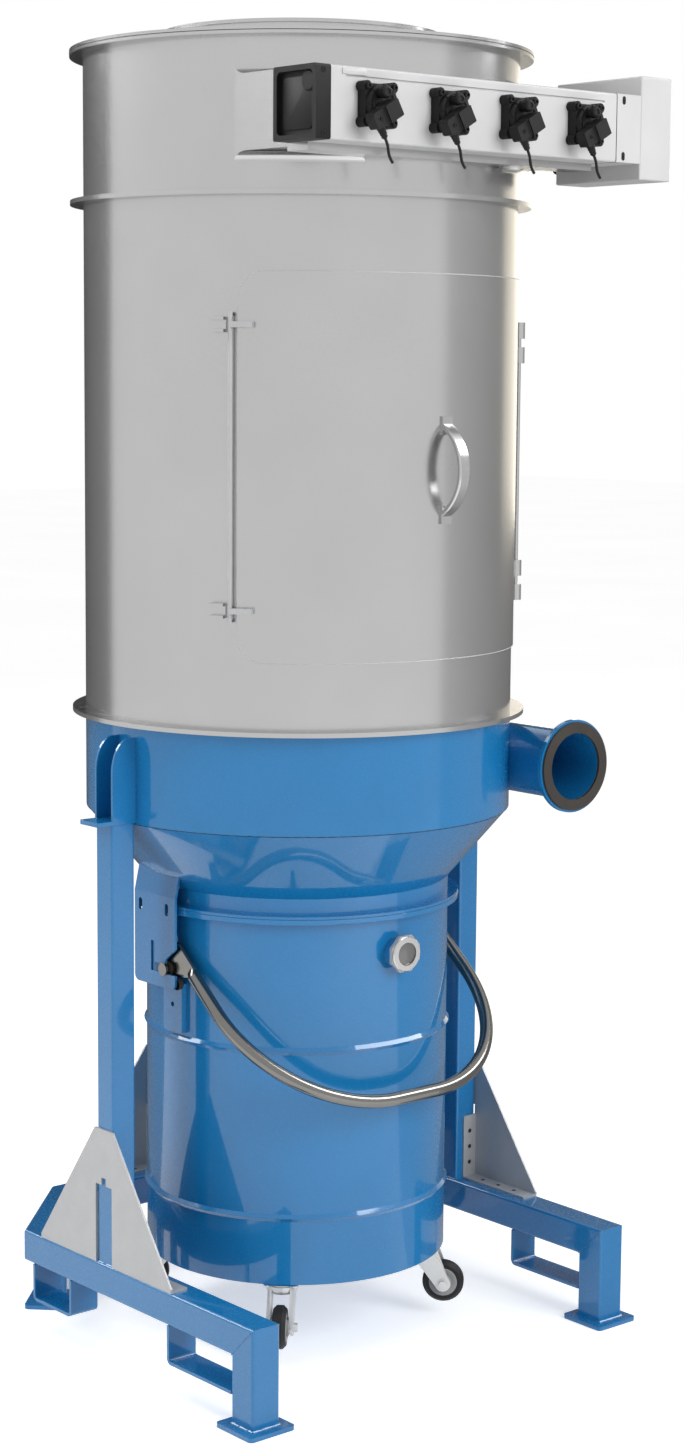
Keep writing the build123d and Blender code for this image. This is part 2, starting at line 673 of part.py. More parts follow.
def make_lid():
    """Lid with its open outlet collar."""
    bore_r = COLLAR_D / 2 - COLLAR_WALL
    collar_r = COLLAR_D / 2
    top = LID_Z + LID_T
    points = [(bore_r, LID_Z), (FLANGE_R, LID_Z), (FLANGE_R, top), (collar_r + COLLAR_FOOT, top),
              (collar_r + COLLAR_FOOT, top + COLLAR_FOOT_T), (collar_r, top + COLLAR_FOOT_T),
              (collar_r, COLLAR_TOP_Z - COLLAR_RIM), (collar_r + COLLAR_RIM, COLLAR_TOP_Z - COLLAR_RIM),
              (collar_r + COLLAR_RIM, COLLAR_TOP_Z), (bore_r, COLLAR_TOP_Z)]
    return turned(points)


# Door
def make_door_panel():
    """Curved door that laps over the doorway, with rounded corners."""
    panel = sector(DOOR_IN_R, DOOR_OUT_R, -DOOR_HALF_ANGLE, DOOR_HALF_ANGLE, DOOR_BOTTOM_Z, DOOR_TOP_Z)
    outward = Plane(origin=(0, 0, 0), x_dir=(1, 0, 0), z_dir=(0, -1, 0))
    corner_angle = DOOR_HALF_ANGLE - degrees(DOOR_CORNER / DOOR_OUT_R)
    reach = DOOR_CORNER + OVERRUN
    for sign in (-1, 1):
        for z, rise in ((DOOR_BOTTOM_Z, 1), (DOOR_TOP_Z, -1)):
            waste = Pos(sign * reach / 2, -rise * reach / 2) * Rectangle(reach, reach) - Circle(DOOR_CORNER)
            waste = Pos(0, z + rise * DOOR_CORNER) * waste
            panel -= Rot(0, 0, sign * corner_angle) * extrude(outward * waste, DOOR_OUT_R + OVERRUN)
    return panel


def hinge_heights(inset):
    """Heights of the lower and upper pieces set in from the door's ends."""
    return DOOR_BOTTOM_Z + inset, DOOR_TOP_Z - inset


def make_door_hinge():
    """Hinge leaf on the door with its two knuckles and the long pin."""
    x, y = at_angle(HINGE_R, HINGE_ANGLE)
    leaf_angle = degrees(LEAF_W / SHELL_R)
    leaf_r = DOOR_OUT_R + LEAF_T
    low_bracket, high_bracket = hinge_heights(BRACKET_INSET)
    hinge = post(HINGE_PIN_D / 2, x, y, low_bracket, high_bracket + KNUCKLE_H / 2)
    for z in hinge_heights(KNUCKLE_INSET):
        z0 = z - KNUCKLE_H / 2
        leaf = sector(DOOR_OUT_R, leaf_r, HINGE_ANGLE - leaf_angle, HINGE_ANGLE, z0, z0 + KNUCKLE_H)
        hinge += post(KNUCKLE_D / 2, x, y, z0, z0 + KNUCKLE_H) + leaf
    return hinge


def make_door_handle():
    """Bowed strap handle on the middle of the door."""
    seat = DOOR_OUT_R
    foot_y = seat + HANDLE_FOOT_T
    top = HANDLE_Z + HANDLE_SPAN / 2
    low = HANDLE_Z - HANDLE_SPAN / 2
    crown = (0, HANDLE_T / 2 - seat - HANDLE_STAND_OFF, HANDLE_Z)
    bow = ThreePointArc((0, HANDLE_T / 2 - foot_y, low), crown, (0, HANDLE_T / 2 - foot_y, top))
    start = Plane(origin=bow @ 0, z_dir=bow % 0, x_dir=(1, 0, 0))
    handle = sweep(start * RectangleRounded(HANDLE_W, HANDLE_T, HANDLE_T / 3), path=bow)
    for z in (low, top):
        handle += block(-HANDLE_W / 2, HANDLE_W / 2, -foot_y, OVERRUN - seat,
                        z - HANDLE_FOOT_H / 2, z + HANDLE_FOOT_H / 2)
    return handle - disc(seat, DOOR_BOTTOM_Z, DOOR_TOP_Z)


def make_latch_rod():
    """Latch rod on the left edge of the door, in two lugs of the door."""
    x, y = at_angle(ROD_R, -ROD_ANGLE)
    low, high = hinge_heights(LATCH_INSET)
    latch = post(ROD_D / 2, x, y, low - LATCH_H / 2 - ROD_D, high + LATCH_H / 2 + ROD_D)
    for z in (low, high):
        latch += sector(DOOR_OUT_R, SHELL_R + LATCH_REACH, -ROD_ANGLE, -LUG_FAR_ANGLE,
                        z - LUG_H / 2, z + LUG_H / 2)
    return latch


def make_door_brackets():
    """Brackets on the shell: two hinge eyes on the right and two pronged latch keepers on the left."""
    x, y = at_angle(HINGE_R, HINGE_ANGLE)
    pieces = []
    for z in hinge_heights(BRACKET_INSET):
        z0 = z - KNUCKLE_H / 2
        eye = sector(SHELL_R, HINGE_R + KNUCKLE_D / 2, HINGE_ANGLE, HINGE_ANGLE + BRACKET_REACH_ANGLE,
                     z0, z0 + KNUCKLE_H)
        eye += post(KNUCKLE_D / 2, x, y, z0, z0 + KNUCKLE_H)
        pieces.append(eye - post(HINGE_PIN_D / 2 + SEAT_GAP, x, y, z0 - OVERRUN, z0 + KNUCKLE_H + OVERRUN))
    for z in hinge_heights(LATCH_INSET):
        keeper = sector(SHELL_R, SHELL_R + PRONG_T, -PRONG_FAR_ANGLE, -PRONG_NEAR_ANGLE,
                        z - LATCH_H / 2, z + LATCH_H / 2)
        for z0 in (z - LATCH_H / 2, z + LATCH_H / 2 - PRONG_T):
            keeper += sector(SHELL_R, SHELL_R + LATCH_REACH, -PRONG_FAR_ANGLE, -PRONG_NEAR_ANGLE,
                             z0, z0 + PRONG_T)
        pieces.append(keeper)
    return together(pieces)


# Dust drum
def drum_bead_heights():
    """Middle heights of the two swaged beads."""
    return [DRUM_BOTTOM_Z + share * (DRUM_TOP_Z - DRUM_BOTTOM_Z) for share in DRUM_BEAD_HEIGHT_SHARES]


def make_drum_wall():
    """Drum wall with two swaged beads."""
    outer = [(DRUM_R, DRUM_BOTTOM_Z)]
    for z in drum_bead_heights():
        outer += [(DRUM_R, z - DRUM_BEAD_H / 2), (DRUM_R + DRUM_BEAD, z), (DRUM_R, z + DRUM_BEAD_H / 2)]
    outer.append((DRUM_R, DRUM_TOP_Z - DRUM_RIM_H))
    inner = [(r - DRUM_WALL, z) for r, z in reversed(outer)]
    wall = turned(outer + inner)
    return wall - on_drum_front(0, DRUM_R + OVERRUN, SIGHT_GLASS_D)


def make_drum_base():
    """Drum bottom, set in the wall, with a top plate for each castor."""
    base = disc(DRUM_R - DRUM_WALL, DRUM_BOTTOM_Z, DRUM_BOTTOM_Z + DRUM_BASE_T)
    plate = extrude(RectangleRounded(CASTOR_PLATE, CASTOR_PLATE, CASTOR_PLATE_T), CASTOR_PLATE_T)
    for _, angle in CASTOR_ANGLES:
        base += Rot(0, 0, angle) * Pos(0, -CASTOR_RING_R, CASTOR_TOP_Z) * plate
    return base


def make_drum_rim():
    """Stiff rim of the drum, which closes on the seal."""
    return ring(DRUM_R - DRUM_WALL, NECK_RING_R, DRUM_TOP_Z - DRUM_RIM_H, DRUM_TOP_Z)


def on_drum_front(start, end, diameter):
    """A round bar on the sight port's axis, between two distances in front of the drum's axis."""
    return Pos(0, -start, SIGHT_Z) * Rot(90, 0, 0) * extrude(Circle(diameter / 2), end - start)


def make_sight_port():
    """Stub of the sight port on the front of the drum."""
    stub = on_drum_front(0, DRUM_R + SIGHT_REACH - SIGHT_RING_T, SIGHT_STUB_D)
    return stub - disc(DRUM_R, SIGHT_Z - SIGHT_RING_D, SIGHT_Z + SIGHT_RING_D) - \
        on_drum_front(0, DRUM_R + SIGHT_REACH, SIGHT_GLASS_D)


def make_sight_ring():
    """Screwed ring of the sight port, closed by its recessed glass."""
    face = DRUM_R + SIGHT_REACH
    plate = chamfer(on_drum_front(face - SIGHT_RING_T, face, SIGHT_RING_D).edges(), SIGHT_RECESS / 2)
    return plate - on_drum_front(face - SIGHT_RECESS, face + OVERRUN, SIGHT_GLASS_D)


def make_drum_lugs():
    """Folded lugs on the drum's sides, just over the upper bead."""
    low = drum_bead_heights()[-1] + DRUM_BEAD_H
    high = low + DRUM_LUG_H
    outer = DRUM_R + DRUM_LUG_STAND_OFF
    half = DRUM_LUG_HALF
    lug = block(0, outer, -half, half, low, high) - disc(DRUM_R, low - OVERRUN, high + OVERRUN)
    lug -= block(0, outer - DRUM_LUG_T, DRUM_LUG_T - half, half - DRUM_LUG_T, low - OVERRUN, high + OVERRUN)
    lug -= Pos(outer, 0, low + DRUM_LUG_HOLE_SHARE * DRUM_LUG_H) * Rot(0, 90, 0) * \
        Cylinder(DRUM_LUG_HOLE_D / 2, OVERRUN)
    return together(mirrored(lug))


# Side plates and bail
def side_plate_cuts():
    """Outlines cut through a side plate: two slots, and a hooked slot with a wide mouth at the front edge."""
    half_slot = BAIL_PIN_D / 2 + SEAT_GAP
    front = -SIDE_PLATE_FRONT - OVERRUN
    slot = Rot(0, 0, 90) * SlotOverall(SLOT_LENGTH, SLOT_W)
    places = (SLOT_FRONT_INSET - SIDE_PLATE_FRONT, SIDE_PLATE_REAR - SLOT_REAR_INSET)
    slots = [Pos(y, SIDE_FOLD_Z - SLOT_DROP) * slot for y in places]
    run = Pos((front + HOOK_SLOT_REAR) / 2, BAIL_PIVOT_Z) * Rectangle(HOOK_SLOT_REAR - front, 2 * half_slot)
    hook = Pos(HOOK_SLOT_REAR - SLOT_W / 2, BAIL_PIVOT_Z + (HOOK_SLOT_H - half_slot) / 2) * \
        Rectangle(SLOT_W, HOOK_SLOT_H + half_slot)
    step = BAIL_PIVOT_Z + MOUTH_STEP
    rise = BAIL_PIVOT_Z + MOUTH_RISE
    mouth = make_face(Polyline((-MOUTH_IN, BAIL_PIVOT_Z), (-MOUTH_IN, step), (-SIDE_PLATE_FRONT, rise),
                               (front, rise), (front, BAIL_PIVOT_Z), close=True))
    return slots + [run, hook, mouth]


def make_side_plates():
    """Folded plates hung from the cone, which carry the bail's pivots outside the drum."""
    inner = SIDE_PLATE_X
    outer = SIDE_PLATE_X + SIDE_PLATE_T
    top = SIDE_FOLD_Z + SIDE_FOLD_H
    low = SIDE_PLATE_BOTTOM_Z
    section = Polyline((inner, low), (outer, low), (outer, SIDE_FOLD_Z), (outer - SIDE_FOLD_LEAN, top),
                       (inner - SIDE_FOLD_LEAN, top), (inner, SIDE_FOLD_Z), close=True)
    width = SIDE_PLATE_FRONT + SIDE_PLATE_REAR
    sheet = Pos(0, SIDE_PLATE_REAR, 0) * extrude(Plane.XZ * make_face(section), width)
    middle = (SIDE_PLATE_REAR - SIDE_PLATE_FRONT) / 2
    outline = RectangleRounded(width, CONE_TOP_Z - low, SIDE_PLATE_CORNER)
    outline = Pos(middle, (low + CONE_TOP_Z) / 2) * outline
    plate = (sheet & extrude(Plane.YZ * outline, outer + OVERRUN)) - cone_space()
    for shape in side_plate_cuts():
        plate -= extrude(Plane.YZ * shape, outer + OVERRUN)
    return together(mirrored(plate))


def make_bail():
    """Bowed lifting bail with flattened ends and pivot pins, made level and then tilted about its pivot."""
    side = BAIL_TUBE_X
    left = Line((-side, -BAIL_HEAD), (-side, BAIL_BEND - BAIL_REACH))
    left_bend = RadiusArc(left @ 1, (BAIL_BEND - side, -BAIL_REACH), -BAIL_BEND)
    front = Line(left_bend @ 1, (side - BAIL_BEND, -BAIL_REACH))
    right_bend = RadiusArc(front @ 1, (side, BAIL_BEND - BAIL_REACH), -BAIL_BEND)
    right = Line(right_bend @ 1, (side, -BAIL_HEAD))
    path = Wire([left, left_bend, front, right_bend, right])
    tube = sweep(Plane(origin=path @ 0, z_dir=path % 0) * Circle(BAIL_TUBE_D / 2), path=path)
    bail = Pos(0, 0, BAIL_OFFSET) * tube
    eye = Circle(BAIL_ARM_EYE)
    tip = Pos(BAIL_CRIMP - BAIL_HEAD, BAIL_OFFSET) * Circle(BAIL_TUBE_D / 2)
    tail = Pos(BAIL_TAIL, BAIL_OFFSET) * Circle(BAIL_TUBE_D / 2)
    arm_face = make_hull(eye.edges() + tip.edges() + tail.edges())
    arm = Pos(side - BAIL_ARM_T / 2, 0, 0) * extrude(Plane.YZ * arm_face, BAIL_ARM_T)
    flat = Plane(origin=(side, BAIL_CRIMP - BAIL_HEAD, BAIL_OFFSET), x_dir=(1, 0, 0), z_dir=(0, -1, 0))
    crimp = loft([flat * Ellipse(BAIL_ARM_T / 2, BAIL_TUBE_D / 2),
                  flat.offset(BAIL_CRIMP) * Circle(BAIL_TUBE_D / 2)])
    outer = SIDE_PLATE_X + SIDE_PLATE_T + SEAT_GAP
    pin = Pos(side, 0, 0) * Rot(0, 90, 0) * extrude(Circle(BAIL_PIN_D / 2), outer - side)
    pin += Pos(outer, 0, 0) * Rot(0, 90, 0) * extrude(Circle(BAIL_PIN_HEAD_D / 2), BAIL_PIN_HEAD_T)
    end = arm + crimp + pin
    bail += end + mirror(end, about=Plane.YZ)
    return Pos(0, BAIL_PIVOT_Y, BAIL_PIVOT_Z) * Rot(BAIL_TILT, 0, 0) * bail


# Castors
def make_castor_fork(angle):
    """Swivel head and pressed fork of one castor, trailing outward."""
    head_z = CASTOR_TOP_Z - SEAT_GAP
    fork = Pos(0, 0, head_z - CASTOR_HEAD_T) * extrude(Circle(CASTOR_HEAD_D / 2), CASTOR_HEAD_T)
    fork += Pos(0, 0, head_z - CASTOR_RACE_T) * extrude(Circle(CASTOR_RACE_D / 2), CASTOR_RACE_T)
    eye = Pos(-CASTOR_TRAIL, AXLE_Z) * Circle(CASTOR_FORK_EYE)
    shoulder = Pos(0, head_z - CASTOR_HEAD_T / 2) * Rectangle(CASTOR_HEAD_D, CASTOR_HEAD_T)
    cheek_face = make_hull(eye.edges() + shoulder.edges())
    cheek = Pos(CASTOR_FORK_GAP / 2, 0, 0) * extrude(Plane.YZ * cheek_face, CASTOR_FORK_T)
    axle = Pos(-CASTOR_FORK_GAP / 2, -CASTOR_TRAIL, AXLE_Z) * Rot(0, 90, 0) * \
        extrude(Circle(AXLE_D / 2 - SEAT_GAP), CASTOR_FORK_GAP)
    bridge = block(-CASTOR_FORK_GAP / 2, CASTOR_FORK_GAP / 2, -CASTOR_HEAD_D / 2, CASTOR_HEAD_D / 2,
                   head_z - CASTOR_HEAD_T, head_z - CASTOR_HEAD_T + CASTOR_FORK_T)
    fork += cheek + mirror(cheek, about=Plane.YZ) + axle + bridge
    return Rot(0, 0, angle) * Pos(0, -CASTOR_RING_R, 0) * fork


def make_wheel(angle):
    """Rubber-tyred wheel of one castor with its hub."""
    half = WHEEL_W / 2
    hub = WHEEL_HUB_W / 2
    tyre_edge = half / 2
    rim_r = WHEEL_D / 2
    hub_r = WHEEL_HUB_D / 2
    points = [(AXLE_D / 2, -hub), (hub_r, -hub), (hub_r, -half), (rim_r - tyre_edge, -half), (rim_r, -tyre_edge),
              (rim_r, tyre_edge), (rim_r - tyre_edge, half), (hub_r, half), (hub_r, hub), (AXLE_D / 2, hub)]
    wheel = revolve(make_face(Plane.XZ * Polyline(*points, close=True)), Axis.Z)
    return Rot(0, 0, angle) * Pos(0, -CASTOR_RING_R - CASTOR_TRAIL, AXLE_Z) * Rot(0, 90, 0) * wheel


# Air tank and valves
def saddle_root(z, rise):
    """Curved root between the shell and the top or the underside of the saddle."""
    size = SADDLE_FILLET
    corner = Pos(SHELL_R + size / 2, z + rise * size / 2) * Rectangle(size, size)
    corner -= Pos(SHELL_R + size, z + rise * size) * Circle(size)
    root = revolve(Plane.XZ * corner, Axis.Z)
    return root & block(-SADDLE_HALF, SADDLE_HALF, -SADDLE_FRONT, 0, z - size, z + size)


def make_tank_saddle():
    """Flat-fronted housing let into the round shell behind the tank."""
    half = SADDLE_HALF
    low = SADDLE_BOTTOM_Z
    high = SADDLE_TOP_Z
    saddle = block(-half, half, -SADDLE_FRONT, 0, low, high) - disc(SHELL_R, low - OVERRUN, high + OVERRUN)
    saddle += block(-half, half, -SADDLE_FRONT, SHELL_WALL - SADDLE_FRONT, low, high)
    recess = disc(SHELL_R, low, high) & block(-half, half, -SHELL_R, -SADDLE_FRONT, low, high)
    saddle += recess - block(-half, half, -SHELL_R, -SADDLE_FRONT, low + SHELL_WALL, high - SHELL_WALL)
    saddle += saddle_root(high, 1) + saddle_root(low, -1)
    return saddle - blow_pipe_bores()


def make_tank_shelf():
    """Shelf on the saddle, under the tank."""
    low = TANK_BOTTOM_Z - SHELF_H
    shelf = block(-SADDLE_HALF, SADDLE_HALF, -SHELF_FRONT, -SADDLE_FRONT, low, TANK_BOTTOM_Z)
    return shelf - disc(SHELL_R + SEAT_GAP, low - OVERRUN, TANK_BOTTOM_Z + OVERRUN)


def make_air_tank():
    """Extruded tank body with a groove along its front."""
    body = block(TANK_LEFT, TANK_RIGHT, -TANK_FRONT, -TANK_BACK, TANK_BOTTOM_Z, TANK_BOTTOM_Z + TANK_H)
    body = fillet(body.edges().filter_by(Axis.X), TANK_EDGE)
    groove_z = TANK_BOTTOM_Z + TANK_H - TANK_GROOVE_DROP
    return body - block(TANK_LEFT + LEFT_CAP_W, TANK_RIGHT - LEFT_CAP_W, -TANK_FRONT - OVERRUN,
                        TANK_GROOVE_W - TANK_FRONT, groove_z - TANK_GROOVE_W, groove_z)


def make_tank_end_cap():
    """Moulded cap on the left end of the tank, with a recessed face."""
    x0 = TANK_LEFT - LEFT_CAP_W
    top = TANK_BOTTOM_Z + TANK_H
    cap = block(x0, TANK_LEFT, -TANK_FRONT, -TANK_BACK, TANK_BOTTOM_Z, top)
    return cap - block(x0 - OVERRUN, x0 + CAP_RECESS, CAP_LIP - TANK_FRONT, -CAP_LIP - TANK_BACK,
                       TANK_BOTTOM_Z + CAP_LIP, top - CAP_LIP)


def make_tank_joint_cap():
    """Cap between the tank and the control box."""
    return block(TANK_RIGHT, TANK_RIGHT + RIGHT_CAP_W, -TANK_FRONT, -TANK_BACK,
                 TANK_BOTTOM_Z, TANK_BOTTOM_Z + TANK_H)


def make_control_box():
    """Pulse controller's housing on the end of the tank."""
    x0 = TANK_RIGHT + RIGHT_CAP_W
    box = block(x0, x0 + BOX_W, -TANK_FRONT, BOX_DEPTH - TANK_FRONT, BOX_BOTTOM_Z, BOX_BOTTOM_Z + BOX_H)
    return fillet(box.edges(), BOX_EDGE)


def on_tank(x, piece):
    """Sets a piece made along +Z on the tank's front face, at a valve's axis."""
    return Pos(x, -TANK_FRONT, VALVE_Z) * Rot(90, 0, 0) * piece


def valve_body():
    """Square diaphragm valve with lobed corners, a low dome, a pilot boss and a vent stub, made along +Z."""
    corner = (VALVE_SIZE - VALVE_LOBE_D) / 2
    outline = Rectangle(VALVE_SIZE - VALVE_LOBE_D / 2, VALVE_SIZE - VALVE_LOBE_D / 2)
    outline += GridLocations(2 * corner, 2 * corner, 2, 2) * Circle(VALVE_LOBE_D / 2)
    body = extrude(outline, VALVE_BASE_T)
    dome = Pos(0, 0, VALVE_BASE_T) * extrude(Circle(DOME_D / 2), DOME_T)
    body += fillet(dome.edges().sort_by(Axis.Z)[-1], DOME_T / 2)
    body += Pos(COIL_X, COIL_Y, VALVE_BASE_T) * extrude(Circle(PILOT_D / 2), DOME_T + PILOT_T)
    return body + Pos(STUB_X, STUB_Y, VALVE_BASE_T) * extrude(Circle(STUB_D / 2), DOME_T + STUB_L)


def valve_coil():
    """Coil, plug and tapered gland of a valve, made along +Z and turned on the pilot's axis."""
    z0 = VALVE_BASE_T + DOME_T + PILOT_T
    coil = Pos(0, 0, z0) * extrude(RectangleRounded(COIL_W, COIL_W, COIL_EDGE), COIL_T)
    plug_x = -(COIL_W + PLUG_W) / 2
    plug = Pos(plug_x, 0, z0) * extrude(RectangleRounded(PLUG_W, PLUG_W, PLUG_EDGE), PLUG_T)
    gland = loft([Plane.XY * Circle(GLAND_D / 2), Plane.XY.offset(GLAND_L) * Circle(GLAND_TIP_D / 2)])
    gland = Pos(plug_x, -PLUG_W / 2, z0 + PLUG_T / 2) * Rot(90, 0, 0) * gland
    bridge = Pos(plug_x / 2, 0, z0) * extrude(Rectangle(-plug_x, PLUG_W - 2 * PLUG_EDGE), PLUG_T)
    return Pos(COIL_X, COIL_Y) * Rot(0, 0, COIL_TURN) * (coil + plug + gland + bridge)


def gland_tip():
    """Place of the gland's tip across the valve's axis, and its distance from the tank's face."""
    across = -(COIL_W + PLUG_W) / 2
    down = -PLUG_W / 2 - GLAND_L - SEAT_GAP
    turn = radians(COIL_TURN)
    x = COIL_X + across * cos(turn) - down * sin(turn)
    y = COIL_Y + across * sin(turn) + down * cos(turn)
    return x, y, VALVE_BASE_T + DOME_T + PILOT_T + PLUG_T / 2


def bend_radii(points):
    """Bend radius at each inner corner of a route, from its shorter run and its turn."""
    radii = []
    for before, here, after in zip(points, points[1:], points[2:]):
        run_in = Vector(*here) - Vector(*before)
        run_out = Vector(*after) - Vector(*here)
        half_turn = radians(run_in.get_angle(run_out) / 2)
        radii.append(LEAD_BEND_SHARE * min(run_in.length, run_out.length) / tan(half_turn))
    return radii


def make_valve_lead(x):
    """Short lead that hangs from one valve's gland."""
    tip_x, tip_y, out = gland_tip()
    points = [(x + tip_x + across, -TANK_FRONT - out, VALVE_Z + tip_y + rise) for across, rise in LEAD_STEPS]
    radii = bend_radii(points)
    print("valve lead bends", [round(r, 1) for r in radii])
    route = FilletPolyline(*points, radius=radii)
    return sweep(Plane(origin=route @ 0, z_dir=route % 0) * Circle(LEAD_D / 2), path=route)


def make_valve_bodies():
    """The row of pulse valves on the tank."""
    return together([on_tank(x, valve_body()) for x in VALVE_XS])


def make_valve_coils():
    """The coils of the pulse valves."""
    return together([on_tank(x, valve_coil()) for x in VALVE_XS])


def export(name, shape):
    """Writes one node, with the whole filter's footprint centred on the origin."""
    placed = together([Pos(0, AXIS_Y, 0) * solid for solid in shape.solids()])
    export_step(placed, os.path.join("parts", name + ".step"))


def main():
    os.makedirs("parts", exist_ok=True)
    left_skid, right_skid = mirrored(make_skid())
    nodes = {
        "left_skid": left_skid,
        "right_skid": right_skid,
        "rear_frame": make_rear_frame(),
        "legs": make_legs(),
        "fork_straps": make_fork_straps(),
        "left_upright": make_upright(-90),
        "right_upright": make_upright(90),
        "rear_upright": make_upright(180),
        "gussets": make_gussets(),
        "hopper_ears": make_hopper_ears(),
        "hopper_cylinder": make_hopper_cylinder(),
        "hopper_cone": make_hopper_cone(),
        "drum_seal": make_drum_seal(),
        "inlet_pipe": make_inlet_pipe(),
        "inlet_flange": make_inlet_flange(),
        "inlet_gasket": make_inlet_gasket(),
        "bottom_flange": make_bottom_flange(),
        "left_wall": make_side_wall(-1),
        "right_wall": make_side_wall(1),
        "door_sill": make_door_sill(),
        "door_header": make_door_header(),
        "tube_sheet": make_tube_sheet(),
        "filter_bags": make_filter_bags(),
        "clean_air_shell": make_clean_air_shell(),
        "blow_pipes": make_blow_pipes(),
        "top_flange": make_top_flange(),
        "lid": make_lid(),
        "door_panel": make_door_panel(),
        "door_hinge": make_door_hinge(),
        "door_handle": make_door_handle(),
        "latch_rod": make_latch_rod(),
        "door_brackets": make_door_brackets(),
        "drum_wall": make_drum_wall(),
        "drum_base": make_drum_base(),
        "drum_rim": make_drum_rim(),
        "sight_port": make_sight_port(),
        "sight_ring": make_sight_ring(),
        "drum_lugs": make_drum_lugs(),
        "side_plates": make_side_plates(),
        "bail": make_bail(),
        "tank_saddle": make_tank_saddle(),
        "tank_shelf": make_tank_shelf(),
        "air_tank": make_air_tank(),
        "tank_end_cap": make_tank_end_cap(),
        "tank_joint_cap": make_tank_joint_cap(),
        "control_box": make_control_box(),
        "valve_bodies": make_valve_bodies(),
        "valve_coils": make_valve_coils(),
    }
    for place, angle in CASTOR_ANGLES:
        nodes["castor_fork_" + place] = make_castor_fork(angle)
        nodes["castor_wheel_" + place] = make_wheel(angle)
    for i, x in enumerate(VALVE_XS):
        nodes["valve_lead_" + str(i + 1)] = make_valve_lead(x)
    for name, shape in nodes.items():
        export(name, shape)


if __name__ == "__main__":
    main()
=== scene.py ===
"""Dresses the bag filter's CAD frame with finishes and small fittings, and sets it in a pale studio."""
from math import asin, cos, hypot, pi, radians, sin

import bmesh
import bpy
from bpy.props import FloatProperty, FloatVectorProperty, PointerProperty
from mathutils import Matrix, Vector


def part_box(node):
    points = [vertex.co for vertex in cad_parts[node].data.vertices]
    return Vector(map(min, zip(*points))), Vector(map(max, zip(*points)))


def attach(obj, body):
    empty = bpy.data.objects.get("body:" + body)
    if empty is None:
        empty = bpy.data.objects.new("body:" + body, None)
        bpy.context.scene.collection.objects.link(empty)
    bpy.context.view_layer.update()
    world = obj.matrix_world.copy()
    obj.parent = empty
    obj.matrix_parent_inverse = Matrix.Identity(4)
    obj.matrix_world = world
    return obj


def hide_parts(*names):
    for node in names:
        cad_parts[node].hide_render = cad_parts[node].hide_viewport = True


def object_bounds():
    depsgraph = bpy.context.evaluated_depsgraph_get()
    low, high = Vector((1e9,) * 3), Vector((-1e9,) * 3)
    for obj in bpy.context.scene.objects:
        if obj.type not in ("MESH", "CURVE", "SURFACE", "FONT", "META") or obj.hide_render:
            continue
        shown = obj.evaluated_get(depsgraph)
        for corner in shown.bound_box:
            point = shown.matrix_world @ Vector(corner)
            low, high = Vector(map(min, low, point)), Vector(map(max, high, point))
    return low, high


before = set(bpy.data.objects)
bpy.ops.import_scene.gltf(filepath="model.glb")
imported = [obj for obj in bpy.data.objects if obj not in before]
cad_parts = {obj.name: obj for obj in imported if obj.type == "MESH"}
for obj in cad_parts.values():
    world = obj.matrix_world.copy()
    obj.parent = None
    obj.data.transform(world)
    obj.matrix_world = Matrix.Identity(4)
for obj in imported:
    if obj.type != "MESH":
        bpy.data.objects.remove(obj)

bl_info = {
    "name": "Bag Filter",
    "version": (1, 0, 0),
    "blender": (4, 5, 0),
    "location": "View3D > Sidebar > Bag Filter",
    "description": "Finishes, fittings and studio for a round pulse-jet bag filter",
    "category": "Object",
}

CAD_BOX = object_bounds()

# Places taken from the frame
LID_LOW, LID_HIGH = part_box("lid")
AXIS_Y = (LID_LOW.y + LID_HIGH.y) / 2
TANK_LOW, TANK_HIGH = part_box("air_tank")
CAP_LOW, CAP_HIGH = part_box("tank_end_cap")
JOINT_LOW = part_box("tank_joint_cap")[0]
BOX_LOW, BOX_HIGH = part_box("control_box")
VALVES_LOW, VALVES_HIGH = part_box("valve_bodies")
SHEET_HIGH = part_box("tube_sheet")[1]
BAGS_LOW, BAGS_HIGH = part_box("filter_bags")
CONE_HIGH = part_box("hopper_cone")[1]
PLATE_LOW, PLATE_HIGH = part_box("side_plates")
RING_LOW, RING_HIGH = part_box("sight_ring")
SHELF_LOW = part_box("tank_shelf")[0]
SKID_LOW, SKID_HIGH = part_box("left_skid")
UPRIGHT_LOW, UPRIGHT_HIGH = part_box("left_upright")
RIM_LOW, RIM_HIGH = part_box("drum_rim")
PANEL_LOW, PANEL_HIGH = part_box("door_panel")
ROD_LOW, ROD_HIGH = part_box("latch_rod")

# Valves
VALVE_SIZE = 0.075
VALVE_COUNT = 4
VALVE_PITCH = (VALVES_HIGH.x - VALVES_LOW.x - VALVE_SIZE) / (VALVE_COUNT - 1)
VALVE_XS = [VALVES_LOW.x + VALVE_SIZE / 2 + i * VALVE_PITCH for i in range(VALVE_COUNT)]
VALVE_Z = (TANK_LOW.z + TANK_HIGH.z) / 2

QUARTER = radians(90.0)
CORNERS = [(sx, sy) for sx in (-1, 1) for sy in (-1, 1)]
SMOOTH_ANGLE = radians(35.0)
WHITE = (1.0, 1.0, 1.0)


def colour(label, words, default):
    """A colour setting."""
    return FloatVectorProperty(name=label, description=words, subtype="COLOR", size=3, min=0.0, max=1.0,
                               default=default)


def length(label, words, default):
    """A length setting in metres."""
    return FloatProperty(name=label, description=words, default=default, min=0.0, unit="LENGTH", precision=4)


